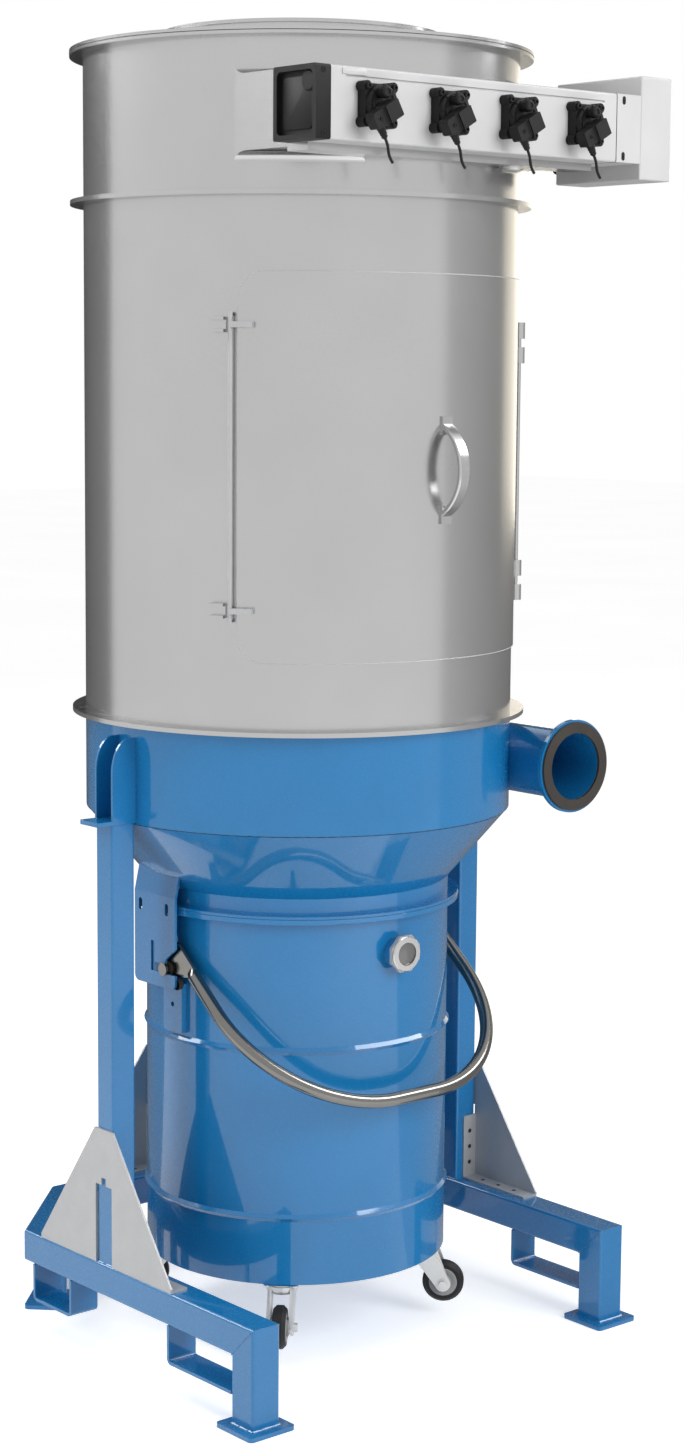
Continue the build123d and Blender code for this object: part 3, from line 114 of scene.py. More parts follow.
class BagFilterFinishes(bpy.types.PropertyGroup):
    """Colours of the finishes."""
    steel: colour("Satin steel", "Rolled sheet of the shell, door and lid", (0.5, 0.5, 0.498))
    galvanised: colour("Galvanised sheet", "Gussets", (0.46, 0.465, 0.47))
    blue: colour("Blue paint", "Stand, hopper and drum", (0.008, 0.170, 0.415))
    pale: colour("Pale paint", "Air tank and control box", (0.56, 0.56, 0.565))
    black: colour("Black plastic", "Valves and end cap", (0.011, 0.011, 0.0115))
    rubber: colour("Dark rubber", "Gasket and seals", (0.04, 0.034, 0.029))
    bail: colour("Bail metal", "Lifting bail", (0.2, 0.196, 0.185))
    zinc: colour("Bright zinc", "Castor forks and fasteners", (0.66, 0.66, 0.65))
    hub: colour("Hub plastic", "Hubs of the castor wheels", (0.3, 0.3, 0.3))
    glass: colour("Sight glass", "Dark glass of the drum's sight port", (0.11, 0.11, 0.108))
    felt: colour("Filter felt", "Filter bags", (0.7, 0.68, 0.61))


class BagFilterSizes(bpy.types.PropertyGroup):
    """Sizes of the small fittings."""
    weld: length("Weld bead", "Radius of a weld bead", 0.0022)
    screw: length("Valve screw", "Radius of a valve's corner screw", 0.0056)
    bolt: length("Sheet bolt", "Radius of the bolts in the gussets", 0.0044)
    pinch: length("Bag pinch", "Depth of the felt between two cage wires", 0.0045)


def power(label, words, default):
    """A lamp's power setting."""
    return FloatProperty(name=label, description=words, default=default, min=0.0, subtype="POWER")


class BagFilterStudio(bpy.types.PropertyGroup):
    """Lamps of the studio."""
    key_power: power("Key lamp", "Power of the large front lamp", 158.0)
    fill_power: power("Fill lamp", "Power of the side lamp", 58.0)
    top_power: power("Top lamp", "Power of the lamp high on the left", 40.0)
    world_light: FloatProperty(name="Room light", description="Strength of the even light from all round",
                               default=0.52, min=0.0)


# Finishes: how far shade and roughness vary over a surface, and the depth of its fine relief
METAL_GRAIN_SHADE = (0.95, 1.04)
METAL_CLOUD_SHADE = (0.97, 1.03)
METAL_GLOSS = (-0.04, 0.05)
METAL_RELIEF = 0.0004
SOFT_RELIEF = 0.0003
PAINT_PEEL = 260.0
PAINT_CLOUDS = 5.0
PAINT_SHADE = (0.94, 1.05)
PAINT_GLOSS = (-0.03, 0.05)
COAT_ROUGHNESS = 0.04
EDGE_SOFTNESS = 0.002
EDGE_SAMPLES = 4
MOULD_CLOUDS = 12.0
MOULD_SHADE = (0.85, 1.15)
MOULD_GLOSS = (-0.06, 0.08)
FINE_DETAIL = 3.0
FINISH_NAMES = {"steel": "shell_steel", "galvanised": "gusset_sheet", "zinc": "fastener_zinc",
                "bail": "bail_tube", "blue": "stand_blue", "pale": "tank_pale", "black": "valve_black",
                "rubber": "seal_rubber", "tyre": "castor_tyre", "hub": "wheel_hub_grey",
                "glass": "port_glass", "felt": "bag_felt"}


def new_material(name):
    """A new material and its node tree."""
    material = bpy.data.materials.new(name)
    material.use_nodes = True
    return material, material.node_tree


def finish(kind):
    """A new finish: its node tree, its shader and an object-space position in metres."""
    _, tree = new_material(FINISH_NAMES[kind])
    place = tree.nodes.new("ShaderNodeTexCoord").outputs["Object"]
    return tree, tree.nodes["Principled BSDF"], place


def noise(tree, place, scale, detail=2.0):
    """A noise value from 0 to 1 over the surface."""
    node = tree.nodes.new("ShaderNodeTexNoise")
    node.inputs["Scale"].default_value = scale
    node.inputs["Detail"].default_value = detail
    tree.links.new(place, node.inputs["Vector"])
    return node.outputs["Fac"]


def ramp(tree, value, low, high, from_low=0.3, from_high=0.7):
    """A value spread between two numbers."""
    node = tree.nodes.new("ShaderNodeMapRange")
    node.inputs["From Min"].default_value = from_low
    node.inputs["From Max"].default_value = from_high
    node.inputs["To Min"].default_value = low
    node.inputs["To Max"].default_value = high
    tree.links.new(value, node.inputs["Value"])
    return node.outputs["Result"]


def tint(tree, shader, base, value):
    """Colours a shader by a base colour times a value that varies over the surface."""
    node = tree.nodes.new("ShaderNodeMix")
    node.data_type = "RGBA"
    node.blend_type = "MULTIPLY"
    node.inputs[0].default_value = 1.0
    node.inputs[6].default_value = (*base, 1.0)
    tree.links.new(value, node.inputs[7])
    tree.links.new(node.outputs[2], shader.inputs["Base Color"])


def uneven_gloss(tree, shader, value, roughness, spread):
    """A roughness that a value varies about its middle."""
    below, above = spread
    tree.links.new(ramp(tree, value, roughness + below, roughness + above), shader.inputs["Roughness"])


def bump(tree, shader, value, strength, distance):
    """Fine relief from a value; returns its node."""
    node = tree.nodes.new("ShaderNodeBump")
    node.inputs["Strength"].default_value = strength
    node.inputs["Distance"].default_value = distance
    tree.links.new(value, node.inputs["Height"])
    tree.links.new(node.outputs["Normal"], shader.inputs["Normal"])
    return node


def metal_finish(kind, base, roughness, grain, clouds, relief, metallic):
    """Bare metal with fine grain, faint clouds and uneven gloss."""
    tree, shader, place = finish(kind)
    fine = noise(tree, place, grain, FINE_DETAIL)
    broad = noise(tree, place, clouds)
    shade = tree.nodes.new("ShaderNodeMath")
    shade.operation = "MULTIPLY"
    tree.links.new(ramp(tree, fine, *METAL_GRAIN_SHADE), shade.inputs[0])
    tree.links.new(ramp(tree, broad, *METAL_CLOUD_SHADE), shade.inputs[1])
    tint(tree, shader, base, shade.outputs[0])
    uneven_gloss(tree, shader, fine, roughness, METAL_GLOSS)
    shader.inputs["Metallic"].default_value = metallic
    bump(tree, shader, fine, relief, METAL_RELIEF)


def paint_finish(kind, base, roughness, relief, coat, gloss):
    """Sprayed paint with faint orange peel, a clear gloss and softened edges."""
    tree, shader, place = finish(kind)
    peel = noise(tree, place, PAINT_PEEL)
    broad = noise(tree, place, PAINT_CLOUDS, FINE_DETAIL)
    tint(tree, shader, base, ramp(tree, broad, *PAINT_SHADE))
    uneven_gloss(tree, shader, peel, roughness, PAINT_GLOSS)
    shader.inputs["Coat Weight"].default_value = coat
    shader.inputs["Coat Roughness"].default_value = COAT_ROUGHNESS
    shader.inputs["Specular IOR Level"].default_value = gloss
    edge = tree.nodes.new("ShaderNodeBevel")
    edge.samples = EDGE_SAMPLES
    edge.inputs["Radius"].default_value = EDGE_SOFTNESS
    peel_relief = bump(tree, shader, peel, relief, SOFT_RELIEF)
    tree.links.new(edge.outputs["Normal"], peel_relief.inputs["Normal"])


def moulded_finish(kind, base, roughness, grain, relief, gloss):
    """Moulded plastic or rubber with a fine matt texture."""
    tree, shader, place = finish(kind)
    pebble = noise(tree, place, grain)
    broad = noise(tree, place, MOULD_CLOUDS)
    tint(tree, shader, base, ramp(tree, broad, *MOULD_SHADE))
    uneven_gloss(tree, shader, pebble, roughness, MOULD_GLOSS)
    shader.inputs["Specular IOR Level"].default_value = gloss
    bump(tree, shader, pebble, relief, SOFT_RELIEF)


# Metal by roughness, grain, clouds, relief and metallic share
METALS = {"steel": (0.2, 900.0, 4.0, 0.06, 1.0), "galvanised": (0.55, 300.0, 30.0, 0.12, 0.45),
          "zinc": (0.38, 700.0, 20.0, 0.06, 0.5), "bail": (0.16, 600.0, 14.0, 0.06, 1.0)}
# Paint by roughness, relief, coat and gloss
PAINTS = {"blue": (0.25, 0.015, 0.95, 0.15), "pale": (0.45, 0.06, 0.0, 0.4)}
# Plastic, rubber, glass and felt by roughness, grain, relief and gloss
MOULDED = {"black": (0.5, 700.0, 0.2, 0.18), "rubber": (0.6, 500.0, 0.3, 0.3),
           "tyre": (0.55, 400.0, 0.3, 0.3), "hub": (0.4, 600.0, 0.15, 0.3),
           "glass": (0.12, 300.0, 0.02, 0.8), "felt": (0.9, 350.0, 0.6, 0.3)}


def make_finishes(colours):
    """Makes every finish; one without a colour of its own is black."""
    for make, table in ((metal_finish, METALS), (paint_finish, PAINTS), (moulded_finish, MOULDED)):
        for kind, values in table.items():
            make(kind, getattr(colours, kind, colours.black), *values)


CASTORS = {"front_left": -45.0, "front_right": 45.0, "rear_right": 135.0, "rear_left": 225.0}

NODE_FINISHES = {
    "blue": ("left_skid", "right_skid", "rear_frame", "legs", "fork_straps", "left_upright", "right_upright",
             "rear_upright", "hopper_ears", "hopper_cylinder", "hopper_cone", "inlet_pipe", "inlet_flange",
             "drum_wall", "drum_base", "drum_rim", "drum_lugs", "sight_port", "side_plates"),
    "galvanised": ("gussets", "latch_rod"),
    "steel": ("bottom_flange", "left_wall", "right_wall", "door_sill", "door_header", "tube_sheet",
              "clean_air_shell", "top_flange", "lid", "door_panel", "door_hinge", "door_brackets",
              "tank_saddle", "tank_shelf", "door_handle", "blow_pipes", "sight_ring"),
    "pale": ("air_tank", "tank_joint_cap", "control_box"),
    "black": ("tank_end_cap", "valve_bodies", "valve_coils"),
    "rubber": ("drum_seal", "inlet_gasket"),
    "zinc": tuple("castor_fork_" + place for place in CASTORS),
    "tyre": tuple("castor_wheel_" + place for place in CASTORS),
    "bail": ("bail",),
    "felt": ("filter_bags",),
}


def dress(obj, finish_name):
    """Gives an object one finish."""
    obj.data.materials.clear()
    obj.data.materials.append(bpy.data.materials[FINISH_NAMES[finish_name]])


# Shapes
def rounded(width, height, corner, steps=5):
    """Outline of a rectangle with rounded corners, about its middle."""
    points = []
    for quarter, (sx, sy) in enumerate(((1, 1), (-1, 1), (-1, -1), (1, -1))):
        x = sx * (width / 2 - corner)
        y = sy * (height / 2 - corner)
        for i in range(steps + 1):
            turn = QUARTER * (quarter + i / steps)
            points.append((x + corner * cos(turn), y + corner * sin(turn)))
    return points


def round_loop(radius, count):
    """Outline of a circle."""
    return [(radius * cos(2 * pi * i / count), radius * sin(2 * pi * i / count)) for i in range(count)]


def flats_loop(sides, across, count):
    """Outline of a regular polygon by its width across flats, in any number of points."""
    points = []
    for i in range(count):
        turn = 2 * pi * i / count
        step = 2 * pi / sides
        off = (turn + step / 2) % step - step / 2
        reach = across / 2 / cos(off)
        points.append((reach * cos(turn), reach * sin(turn)))
    return points


def ring_of(form, outline, height):
    """New points on an outline at one height."""
    return [form.verts.new((x, y, height)) for x, y in outline]


def wall(form, low, high):
    """Faces between two rings of points, either of which may be a single point."""
    count = max(len(low), len(high))
    for i in range(count):
        j = (i + 1) % count
        corners = (low[i % len(low)], low[j % len(low)], high[j % len(high)], high[i % len(high)])
        form.faces.new(list(dict.fromkeys(corners)))


def turned(profile, steps=32):
    """A form turned about +Z from (radius, height) points; a radius of 0 closes it."""
    form = bmesh.new()
    rings = [ring_of(form, round_loop(radius, steps) if radius else [(0.0, 0.0)], height)
             for radius, height in profile]
    for low, high in zip(rings, rings[1:]):
        wall(form, low, high)
    return form


def plate(outline, depth, edge=0.0):
    """A plate of a given outline that stands on z 0, with its outer edge eased."""
    form = bmesh.new()
    low = ring_of(form, outline, 0.0)
    high = ring_of(form, outline, depth)
    wall(form, low, high)
    form.faces.new(low[::-1])
    top = form.faces.new(high)
    if edge:
        bmesh.ops.bevel(form, geom=list(top.edges), offset=edge, segments=2, profile=0.5, affect="EDGES",
                        clamp_overlap=True)
    return form


def hollow_plate(outer, inner, depth):
    """A plate with a hole, from two outlines of as many points."""
    form = bmesh.new()
    rings = [ring_of(form, outline, height)
             for outline, height in ((outer, 0.0), (outer, depth), (inner, depth), (inner, 0.0))]
    for low, high in zip(rings, rings[1:] + rings[:1]):
        wall(form, low, high)
    return form


def rod(points, radius, steps=8, closed=False, ripple=0.0, wave=6):
    """A round bar along points; a ripple gives it the scales of a weld bead."""
    form = bmesh.new()
    rings = []
    count = len(points)
    side = None
    for i, here in enumerate(points):
        before = points[i - 1] if closed or i else here
        after = points[(i + 1) % count] if closed or i < count - 1 else here
        along = (Vector(after) - Vector(before)).normalized()
        if side is None:
            side = along.orthogonal().normalized()
        side = (side - along * side.dot(along)).normalized()
        other = along.cross(side)
        reach = radius * (1.0 + ripple * sin(2 * pi * i / wave))
        rings.append([form.verts.new(Vector(here) + reach * (side * x + other * y))
                      for x, y in round_loop(1.0, steps)])
    for low, high in zip(rings, rings[1:]):
        wall(form, low, high)
    if closed:
        wall(form, rings[-1], rings[0])
    else:
        form.faces.new(rings[0][::-1])
        form.faces.new(rings[-1])
    return form


def weld(start, end, radius, step=0.004):
    """A straight weld bead."""
    start, end = Vector(start), Vector(end)
    count = max(2, round((end - start).length / step))
    return rod([start.lerp(end, i / count) for i in range(count + 1)], radius, 6, ripple=0.18)


def shift(x=0.0, y=0.0, z=0.0):
    """A move."""
    return Matrix.Translation((x, y, z))


def turn(angle, axis):
    """A turn in radians about one axis."""
    return Matrix.Rotation(angle, 4, axis)


AXIS = shift(y=AXIS_Y)


def about_axis(angle):
    """Frame made at the front and turned about the vessel's axis by an angle in degrees."""
    return AXIS @ turn(radians(angle), "Z")


def facing_front(x, y, z):
    """Sets a form made along +Z on a face that looks to the front."""
    return shift(x, y, z) @ turn(QUARTER, "X")


def facing_side(x, y, z, sign):
    """Sets a form made along +Z on a face that looks to the right or the left."""
    return shift(x, y, z) @ turn(sign * QUARTER, "Y")


def new_object(name, data):
    """A new object in the scene."""
    obj = bpy.data.objects.new(name, data)
    bpy.context.collection.objects.link(obj)
    return obj


def add_piece(name, finish_name, parts, body="filter", replaced=()):
    """Joins (form, place) parts to one object with a finish, which rides on a body."""
    whole = bmesh.new()
    scrap = bpy.data.meshes.new(name + "_scrap")
    for form, place in parts:
        form.transform(place)
        form.to_mesh(scrap)
        form.free()
        whole.from_mesh(scrap)
    bpy.data.meshes.remove(scrap)
    bmesh.ops.recalc_face_normals(whole, faces=whole.faces[:])
    mesh = bpy.data.meshes.new(name)
    whole.to_mesh(mesh)
    whole.free()
    mesh.shade_smooth()
    mesh.set_sharp_from_angle(angle=SMOOTH_ANGLE)
    obj = new_object(name, mesh)
    dress(obj, finish_name)
    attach(obj, body)
    if replaced:
        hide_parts(*replaced)
    return obj


def cap_screw(radius, height):
    """Round screw head with a socket."""
    socket = 0.5 * radius
    floor = 0.35 * height
    edge = 0.18 * radius
    return turned([(0.0, floor), (socket, floor), (socket, height), (radius - edge, height),
                   (radius, height - edge), (radius, 0.0)], 20)


def hex_head(across, height):
    """Hexagon head with its top edge eased."""
    return plate(flats_loop(6, across, 36), height, 0.1 * height)


def washer(radius, hole, height):
    """Flat washer."""
    return hollow_plate(round_loop(radius, 28), round_loop(hole, 28), height)


class BAGFILTER_OT_finishes(bpy.types.Operator):
    """Gives every CAD piece its finish."""
    bl_idname = "bagfilter.finishes"
    bl_label = "Finishes"

    def execute(self, context):
        make_finishes(context.scene.bag_filter_finishes)
        for finish_name, nodes in NODE_FINISHES.items():
            for node in nodes:
                dress(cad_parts[node], finish_name)
        return {"FINISHED"}


# Air tank
CAP_MID_Y = (CAP_LOW.y + CAP_HIGH.y) / 2
CAP_TALL = CAP_HIGH.z - CAP_LOW.z
CAP_DEEP = CAP_HIGH.y - CAP_LOW.y
CAP_LIP = 0.009
CAP_RIM = 0.010
CAP_CORNER = 0.004
CAP_INNER_CORNER = 0.009
CAP_FLOOR_CORNER = 0.006
CAP_FLOOR = (0.003, 0.001)
CAP_BOSS_R = 0.017
CAP_BOSS = ((0.0, 0.006), (CAP_BOSS_R - 0.002, 0.006), (CAP_BOSS_R, 0.004), (CAP_BOSS_R, 0.0))
CAP_SCREW = (0.0052, 0.0012)
CAP_SCREW_RISE = 0.051
JOINT_GASKET_T = 0.0016
JOINT_GASKET_W = 0.006
JOINT_GASKET_PROUD = 0.0003
JOINT_SLOT_W = 0.008
JOINT_SLOT = (JOINT_SLOT_W, 0.015, JOINT_SLOT_W / 2.01)
JOINT_SLOT_T = 0.0005
JOINT_SLOT_INSET = 0.018
JOINT_SLOT_RISE = 0.049
JOINT_SCREW = (JOINT_SLOT_W / 2.4, 0.0015)
TRACK_STOP = (0.052, 0.010, 0.001)
TRACK_STOP_RISE = (0.0014, 0.0004)
TRACK_STOP_INSET = 0.049
TRACK_STOP_DROP = 0.009
DRAIN_PLACE = (0.164, -0.390)
DRAIN_PROFILE = ((0.0, 0.009), (0.010, 0.008), (0.014, 0.005), (0.015, 0.0))
DRAIN_WASHER = (0.019, 0.008, 0.002)
COVER_MARGIN = 0.006
COVER_CORNER = 0.008
COVER_STAND = 0.004
COVER_EASE = 0.0015
COVER_SCREW = (0.0042, 0.0018)
COVER_SCREW_INSET = 0.011
BOX_GLAND_SHARES = (0.3, 0.7)
BOX_GLAND_RISE = 0.03
BOX_GLAND_NUT = (0.026, 0.006)
BOX_GLAND = ((0.0, 0.026), (0.006, 0.026), (0.0075, 0.024), (0.009, 0.015), (0.009, 0.012),
             (0.0115, 0.012), (0.0115, 0.003), (0.014, 0.003), (0.014, 0.0))


def cap_outline(inset, corner):
    """Outline of the tank's end, drawn in by an inset on all sides."""
    return rounded(CAP_TALL - 2 * inset, CAP_DEEP - 2 * inset, corner)


def add_end_cap():
    """Moulded end cap with its rim, floor, boss and two screws."""
    body_t = CAP_HIGH.x - CAP_LOW.x - CAP_RIM
    outer = cap_outline(0.0, CAP_CORNER)
    seat = facing_side(CAP_HIGH.x, CAP_MID_Y, VALVE_Z, -1)
    face = seat @ shift(z=body_t)
    floor = plate(cap_outline(2 * CAP_LIP, CAP_FLOOR_CORNER), *CAP_FLOOR)
    corner = shift(CAP_TALL / 2 - CAP_LIP - CAP_BOSS_R, CAP_LIP + CAP_BOSS_R - CAP_DEEP / 2)
    parts = [(plate(outer, body_t), seat),
             (hollow_plate(outer, cap_outline(CAP_LIP, CAP_INNER_CORNER), CAP_RIM), face),
             (floor, face), (turned(CAP_BOSS), face @ corner)]
    add_piece("moulded_end_cap", "black", parts, replaced=("tank_end_cap",))
    screw_x = (CAP_LOW.x + CAP_HIGH.x) / 2
    screws = [(cap_screw(*CAP_SCREW), facing_front(screw_x, CAP_LOW.y, VALVE_Z + rise))
              for rise in (-CAP_SCREW_RISE, CAP_SCREW_RISE)]
    add_piece("end_cap_screws", "black", screws)


def add_tank_joint():
    """Gasket at the tank's joint, and the slots beside it with their screws."""
    seat = facing_side(JOINT_LOW.x - JOINT_GASKET_T / 2, CAP_MID_Y, VALVE_Z, 1)
    gasket = hollow_plate(cap_outline(-JOINT_GASKET_PROUD, CAP_CORNER),
                          cap_outline(JOINT_GASKET_W, CAP_CORNER), JOINT_GASKET_T)
    add_piece("tank_joint_gasket", "rubber", [(gasket, seat)])
    slots = []
    for rise in (-JOINT_SLOT_RISE, JOINT_SLOT_RISE):
        place = facing_front(JOINT_LOW.x + JOINT_SLOT_INSET, JOINT_LOW.y, VALVE_Z + rise)
        slots += [(plate(rounded(*JOINT_SLOT), JOINT_SLOT_T), place), (cap_screw(*JOINT_SCREW), place)]
    add_piece("joint_cap_slots", "black", slots)


def add_tank_trim():
    """Stop on the tank's track, and the drain plug under the shelf."""
    place = facing_front(TANK_LOW.x + TRACK_STOP_INSET, TANK_LOW.y, TANK_HIGH.z - TRACK_STOP_DROP)
    stop = plate(rounded(*TRACK_STOP), *TRACK_STOP_RISE)
    add_piece("tank_track_stop", "pale", [(stop, place)])
    x, y = DRAIN_PLACE
    place = shift(x, AXIS_Y + y, SHELF_LOW.z) @ turn(pi, "X")
    drain = [(turned(DRAIN_PROFILE), place), (washer(*DRAIN_WASHER), place)]
    add_piece("tank_drain_plug", "zinc", drain)


def add_control_box():
    """Control box's cover with its screws, and the glands at its back."""
    tall = BOX_HIGH.z - BOX_LOW.z - 2 * COVER_MARGIN
    deep = BOX_HIGH.y - BOX_LOW.y - 2 * COVER_MARGIN
    seat = facing_side(BOX_HIGH.x, (BOX_LOW.y + BOX_HIGH.y) / 2, (BOX_LOW.z + BOX_HIGH.z) / 2, 1)
    cover = plate(rounded(tall, deep, COVER_CORNER), COVER_STAND, COVER_EASE)
    add_piece("control_box_cover", "pale", [(cover, seat)])
    up = tall / 2 - COVER_SCREW_INSET
    out = deep / 2 - COVER_SCREW_INSET
    screws = [(cap_screw(*COVER_SCREW), seat @ shift(sx * up, sy * out, COVER_STAND)) for sx, sy in CORNERS]
    add_piece("control_box_screws", "zinc", screws)
    glands = []
    for share in BOX_GLAND_SHARES:
        x = BOX_LOW.x + share * (BOX_HIGH.x - BOX_LOW.x)
        place = shift(x, BOX_HIGH.y, BOX_LOW.z + BOX_GLAND_RISE) @ turn(-QUARTER, "X")
        glands += [(turned(BOX_GLAND), place), (hex_head(*BOX_GLAND_NUT), place)]
    add_piece("control_box_glands", "black", glands)


class BAGFILTER_OT_tank_fittings(bpy.types.Operator):
    """End cap, joint gasket, slots and trim of the air tank, and the control box's cover and glands."""
    bl_idname = "bagfilter.tank_fittings"
    bl_label = "Tank Fittings"

    def execute(self, context):
        add_end_cap()
        add_tank_joint()
        add_tank_trim()
        add_control_box()
        return {"FINISHED"}


# Valves, in a frame with +Z out of the tank's face
VALVE_CORNER = 0.0285
VALVE_BASE_T = 0.020
VALVE_SCREW_H = 0.005
DOME_TOP = 0.028
DOME_RIB_R = 0.0255
DOME_RIB_W = 0.003
DOME_RIB_H = 0.0018
SPOKES = 8
SPOKE = (0.008, 0.003, 0.001)
SPOKE_RISE = (0.0032, 0.0006)
SPOKE_PLACE = (DOME_RIB_R + 0.0035, 0.0, DOME_TOP - 0.002)
STUB = shift(-0.008, 0.018, 0.045)
STUB_R = 0.009
STUB_CAP = ((0.0, 0.0015), (0.005, 0.0015), (0.005, 0.003), (STUB_R - 0.002, 0.003),
            (STUB_R + 0.0006, 0.001), (STUB_R + 0.0006, -0.008), (STUB_R, -0.0085))
KNURLS = 14
KNURL = (0.0016, 0.0018, 0.0005, 2)
KNURL_H = 0.008
KNURL_OUT = 0.0008
COIL = shift(-0.002, -0.012, 0.032) @ turn(radians(30.0), "Z")
COIL_SIZE = 0.030
PLUG_SIZE = 0.028
PLUG_T = 0.022
PLUG_SCREW = (0.0036, 0.0016)
PLUG_SEAM = (0.0016, PLUG_SIZE + 0.0012, 0.0004, 2)
PLUG_SEAM_T = PLUG_T + 0.0006
GLAND_R = 0.0075
GLAND_TIP_R = 0.0045
GLAND_L = 0.020
GLAND_RIB_SHARES = (0.12, 0.38, 0.62, 0.86)
GLAND_RIB = ((-0.001, -0.0011), (0.0006, -0.0007), (0.0006, 0.0007), (-0.001, 0.0011))
LEAD_ROUTE = ((-0.0100, -0.0561), (-0.0044, -0.0658), (-0.0030, -0.0767), (0.0002, -0.0869),
              (0.0070, -0.0949))
LEAD_OUT = 0.043
LEAD_D = 0.005


def valve_ribs():
    """Raised ring and spokes on the dome, and the vent stub's knurled cap."""
    ring = hollow_plate(round_loop(DOME_RIB_R, 40), round_loop(DOME_RIB_R - DOME_RIB_W, 40), DOME_RIB_H)
    parts = [(ring, shift(z=DOME_TOP))]
    for i in range(SPOKES):
        spoke = turn(2 * pi * i / SPOKES, "Z") @ shift(*SPOKE_PLACE)
        parts.append((plate(rounded(*SPOKE), *SPOKE_RISE), spoke))
    parts.append((turned(STUB_CAP, 24), STUB))
    for i in range(KNURLS):
        ridge = turn(2 * pi * i / KNURLS, "Z") @ shift(STUB_R + KNURL_OUT, 0.0, -KNURL_H)
        parts.append((plate(rounded(*KNURL), KNURL_H), STUB @ ridge))
    return parts


def coil_parts():
    """Plug's centre screw and the gland's ribs."""
    plug_x = -(COIL_SIZE + PLUG_SIZE) / 2
    parts = [(cap_screw(*PLUG_SCREW), COIL @ shift(plug_x, 0.0, PLUG_T))]
    gland = COIL @ shift(plug_x, -PLUG_SIZE / 2, PLUG_T / 2) @ turn(QUARTER, "X")
    for share in GLAND_RIB_SHARES:
        radius = GLAND_R + share * (GLAND_TIP_R - GLAND_R)
        rib = turned([(radius + out, height) for out, height in GLAND_RIB], 24)
        parts.append((rib, gland @ shift(z=share * GLAND_L)))
    return parts


class BAGFILTER_OT_valve_fittings(bpy.types.Operator):
    """Screws, ribs, plug seams and gland ribs of the pulse valves."""
    bl_idname = "bagfilter.valve_fittings"
    bl_label = "Valve Fittings"

    def execute(self, context):
        radius = context.scene.bag_filter_sizes.screw
        screws, ribs, seams = [], [], []
        for x in VALVE_XS:
            seat = facing_front(x, TANK_LOW.y, VALVE_Z)
            base = seat @ shift(z=VALVE_BASE_T)
            screws += [(cap_screw(radius, VALVE_SCREW_H), base @ shift(sx * VALVE_CORNER, sy * VALVE_CORNER))
                       for sx, sy in CORNERS]
            ribs += [(form, seat @ place) for form, place in valve_ribs() + coil_parts()]
            seams.append((plate(rounded(*PLUG_SEAM), PLUG_SEAM_T), seat @ COIL @ shift(-COIL_SIZE / 2)))
        add_piece("valve_corner_screws", "black", screws)
        add_piece("valve_ribs", "black", ribs)
        add_piece("plug_seams", "rubber", seams)
        return {"FINISHED"}


class BAGFILTER_OT_valve_leads(bpy.types.Operator):
    """Hangs a short lead from each valve's gland."""
    bl_idname = "bagfilter.valve_leads"
    bl_label = "Valve Leads"

    def execute(self, context):
        for i, x in enumerate(VALVE_XS, 1):
            points = [(x + across, TANK_LOW.y - LEAD_OUT, VALVE_Z + rise) for across, rise in LEAD_ROUTE]
            curve = bpy.data.curves.new("valve_lead_%d_line" % i, "CURVE")
            curve.dimensions = "3D"
            curve.bevel_depth = LEAD_D / 2
            curve.bevel_resolution = 6
            curve.resolution_u = 12
            curve.use_fill_caps = True
            spline = curve.splines.new("NURBS")
            spline.points.add(len(points) - 1)
            for point, place in zip(spline.points, points):
                point.co = (*place, 1.0)
            spline.order_u = 3
            spline.use_endpoint_u = True
            lead = new_object("hanging_lead_%d" % i, curve)
            dress(lead, "black")
            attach(lead, "filter")
            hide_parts("valve_lead_%d" % i)
        return {"FINISHED"}


# Shell and hopper
SHELL_R = 0.400
FLANGE_R = 0.4245
LID_SEAL = ((-0.02, -0.0005), (0.0004, -0.0005), (0.0004, 0.0007), (-0.02, 0.0007))
CURVE_STEPS = 12
WELD_STEPS = 720
SEAM_STEPS = 240
EAR_ANGLES = (-90.0, 90.0, 180.0)
EAR_HALF = 0.0275
EAR_FOOT_Z = 1.016
EAR_TOP_Z = 1.163
EAR_T = 0.005
EAR_SOLE_T = 0.008
EAR_SOLE_CORNER = 0.002
EAR_ROOT_R = 0.3975
EAR_HEAD_R = 0.412
EAR_SHOULDER_SHARE = 0.58
EAR_REACH = CAD_BOX[1].x
DOOR_CORNER = 0.050
DOOR_EDGE_R = 0.0007
DOOR_EDGE_STEP = 0.01
WEB_W = 0.007
WEB_CORNER = 0.001
WEB_INSET = 0.006
WEB_FOOT_R = 0.4012
WEB_OUT_R = 0.4095
ROD_ANGLE = -56.4


def door_outline():
    """Line round the door panel's edge, bent to the panel's round."""
    reach = AXIS_Y - PANEL_LOW.y
    width = 2 * reach * asin(PANEL_HIGH.x / reach)
    middle = (PANEL_LOW.z + PANEL_HIGH.z) / 2
    corners = rounded(width, PANEL_HIGH.z - PANEL_LOW.z, DOOR_CORNER, CURVE_STEPS)
    points = []
    for (x, z), (next_x, next_z) in zip(corners, corners[1:] + corners[:1]):
        count = max(1, round(hypot(next_x - x, next_z - z) / DOOR_EDGE_STEP))
        for i in range(count):
            angle = (x + (next_x - x) * i / count) / reach
            height = middle + z + (next_z - z) * i / count
            points.append((reach * sin(angle), AXIS_Y - reach * cos(angle), height))
    return points


def ear_cheek():
    """Outline of an ear's cheek, by its distance from the axis and its height, with a rounded brow."""
    outer = abs(UPRIGHT_LOW.x)
    shoulder = EAR_FOOT_Z + EAR_SHOULDER_SHARE * (EAR_TOP_Z - EAR_FOOT_Z)
    outline = [(EAR_ROOT_R, EAR_FOOT_Z), (outer, EAR_FOOT_Z)]
    for i in range(CURVE_STEPS + 1):
        angle = QUARTER * i / CURVE_STEPS
        outline.append((EAR_HEAD_R + (outer - EAR_HEAD_R) * cos(angle),
                        shoulder + (EAR_TOP_Z - shoulder) * sin(angle)))
    return outline + [(EAR_ROOT_R, EAR_TOP_Z)]


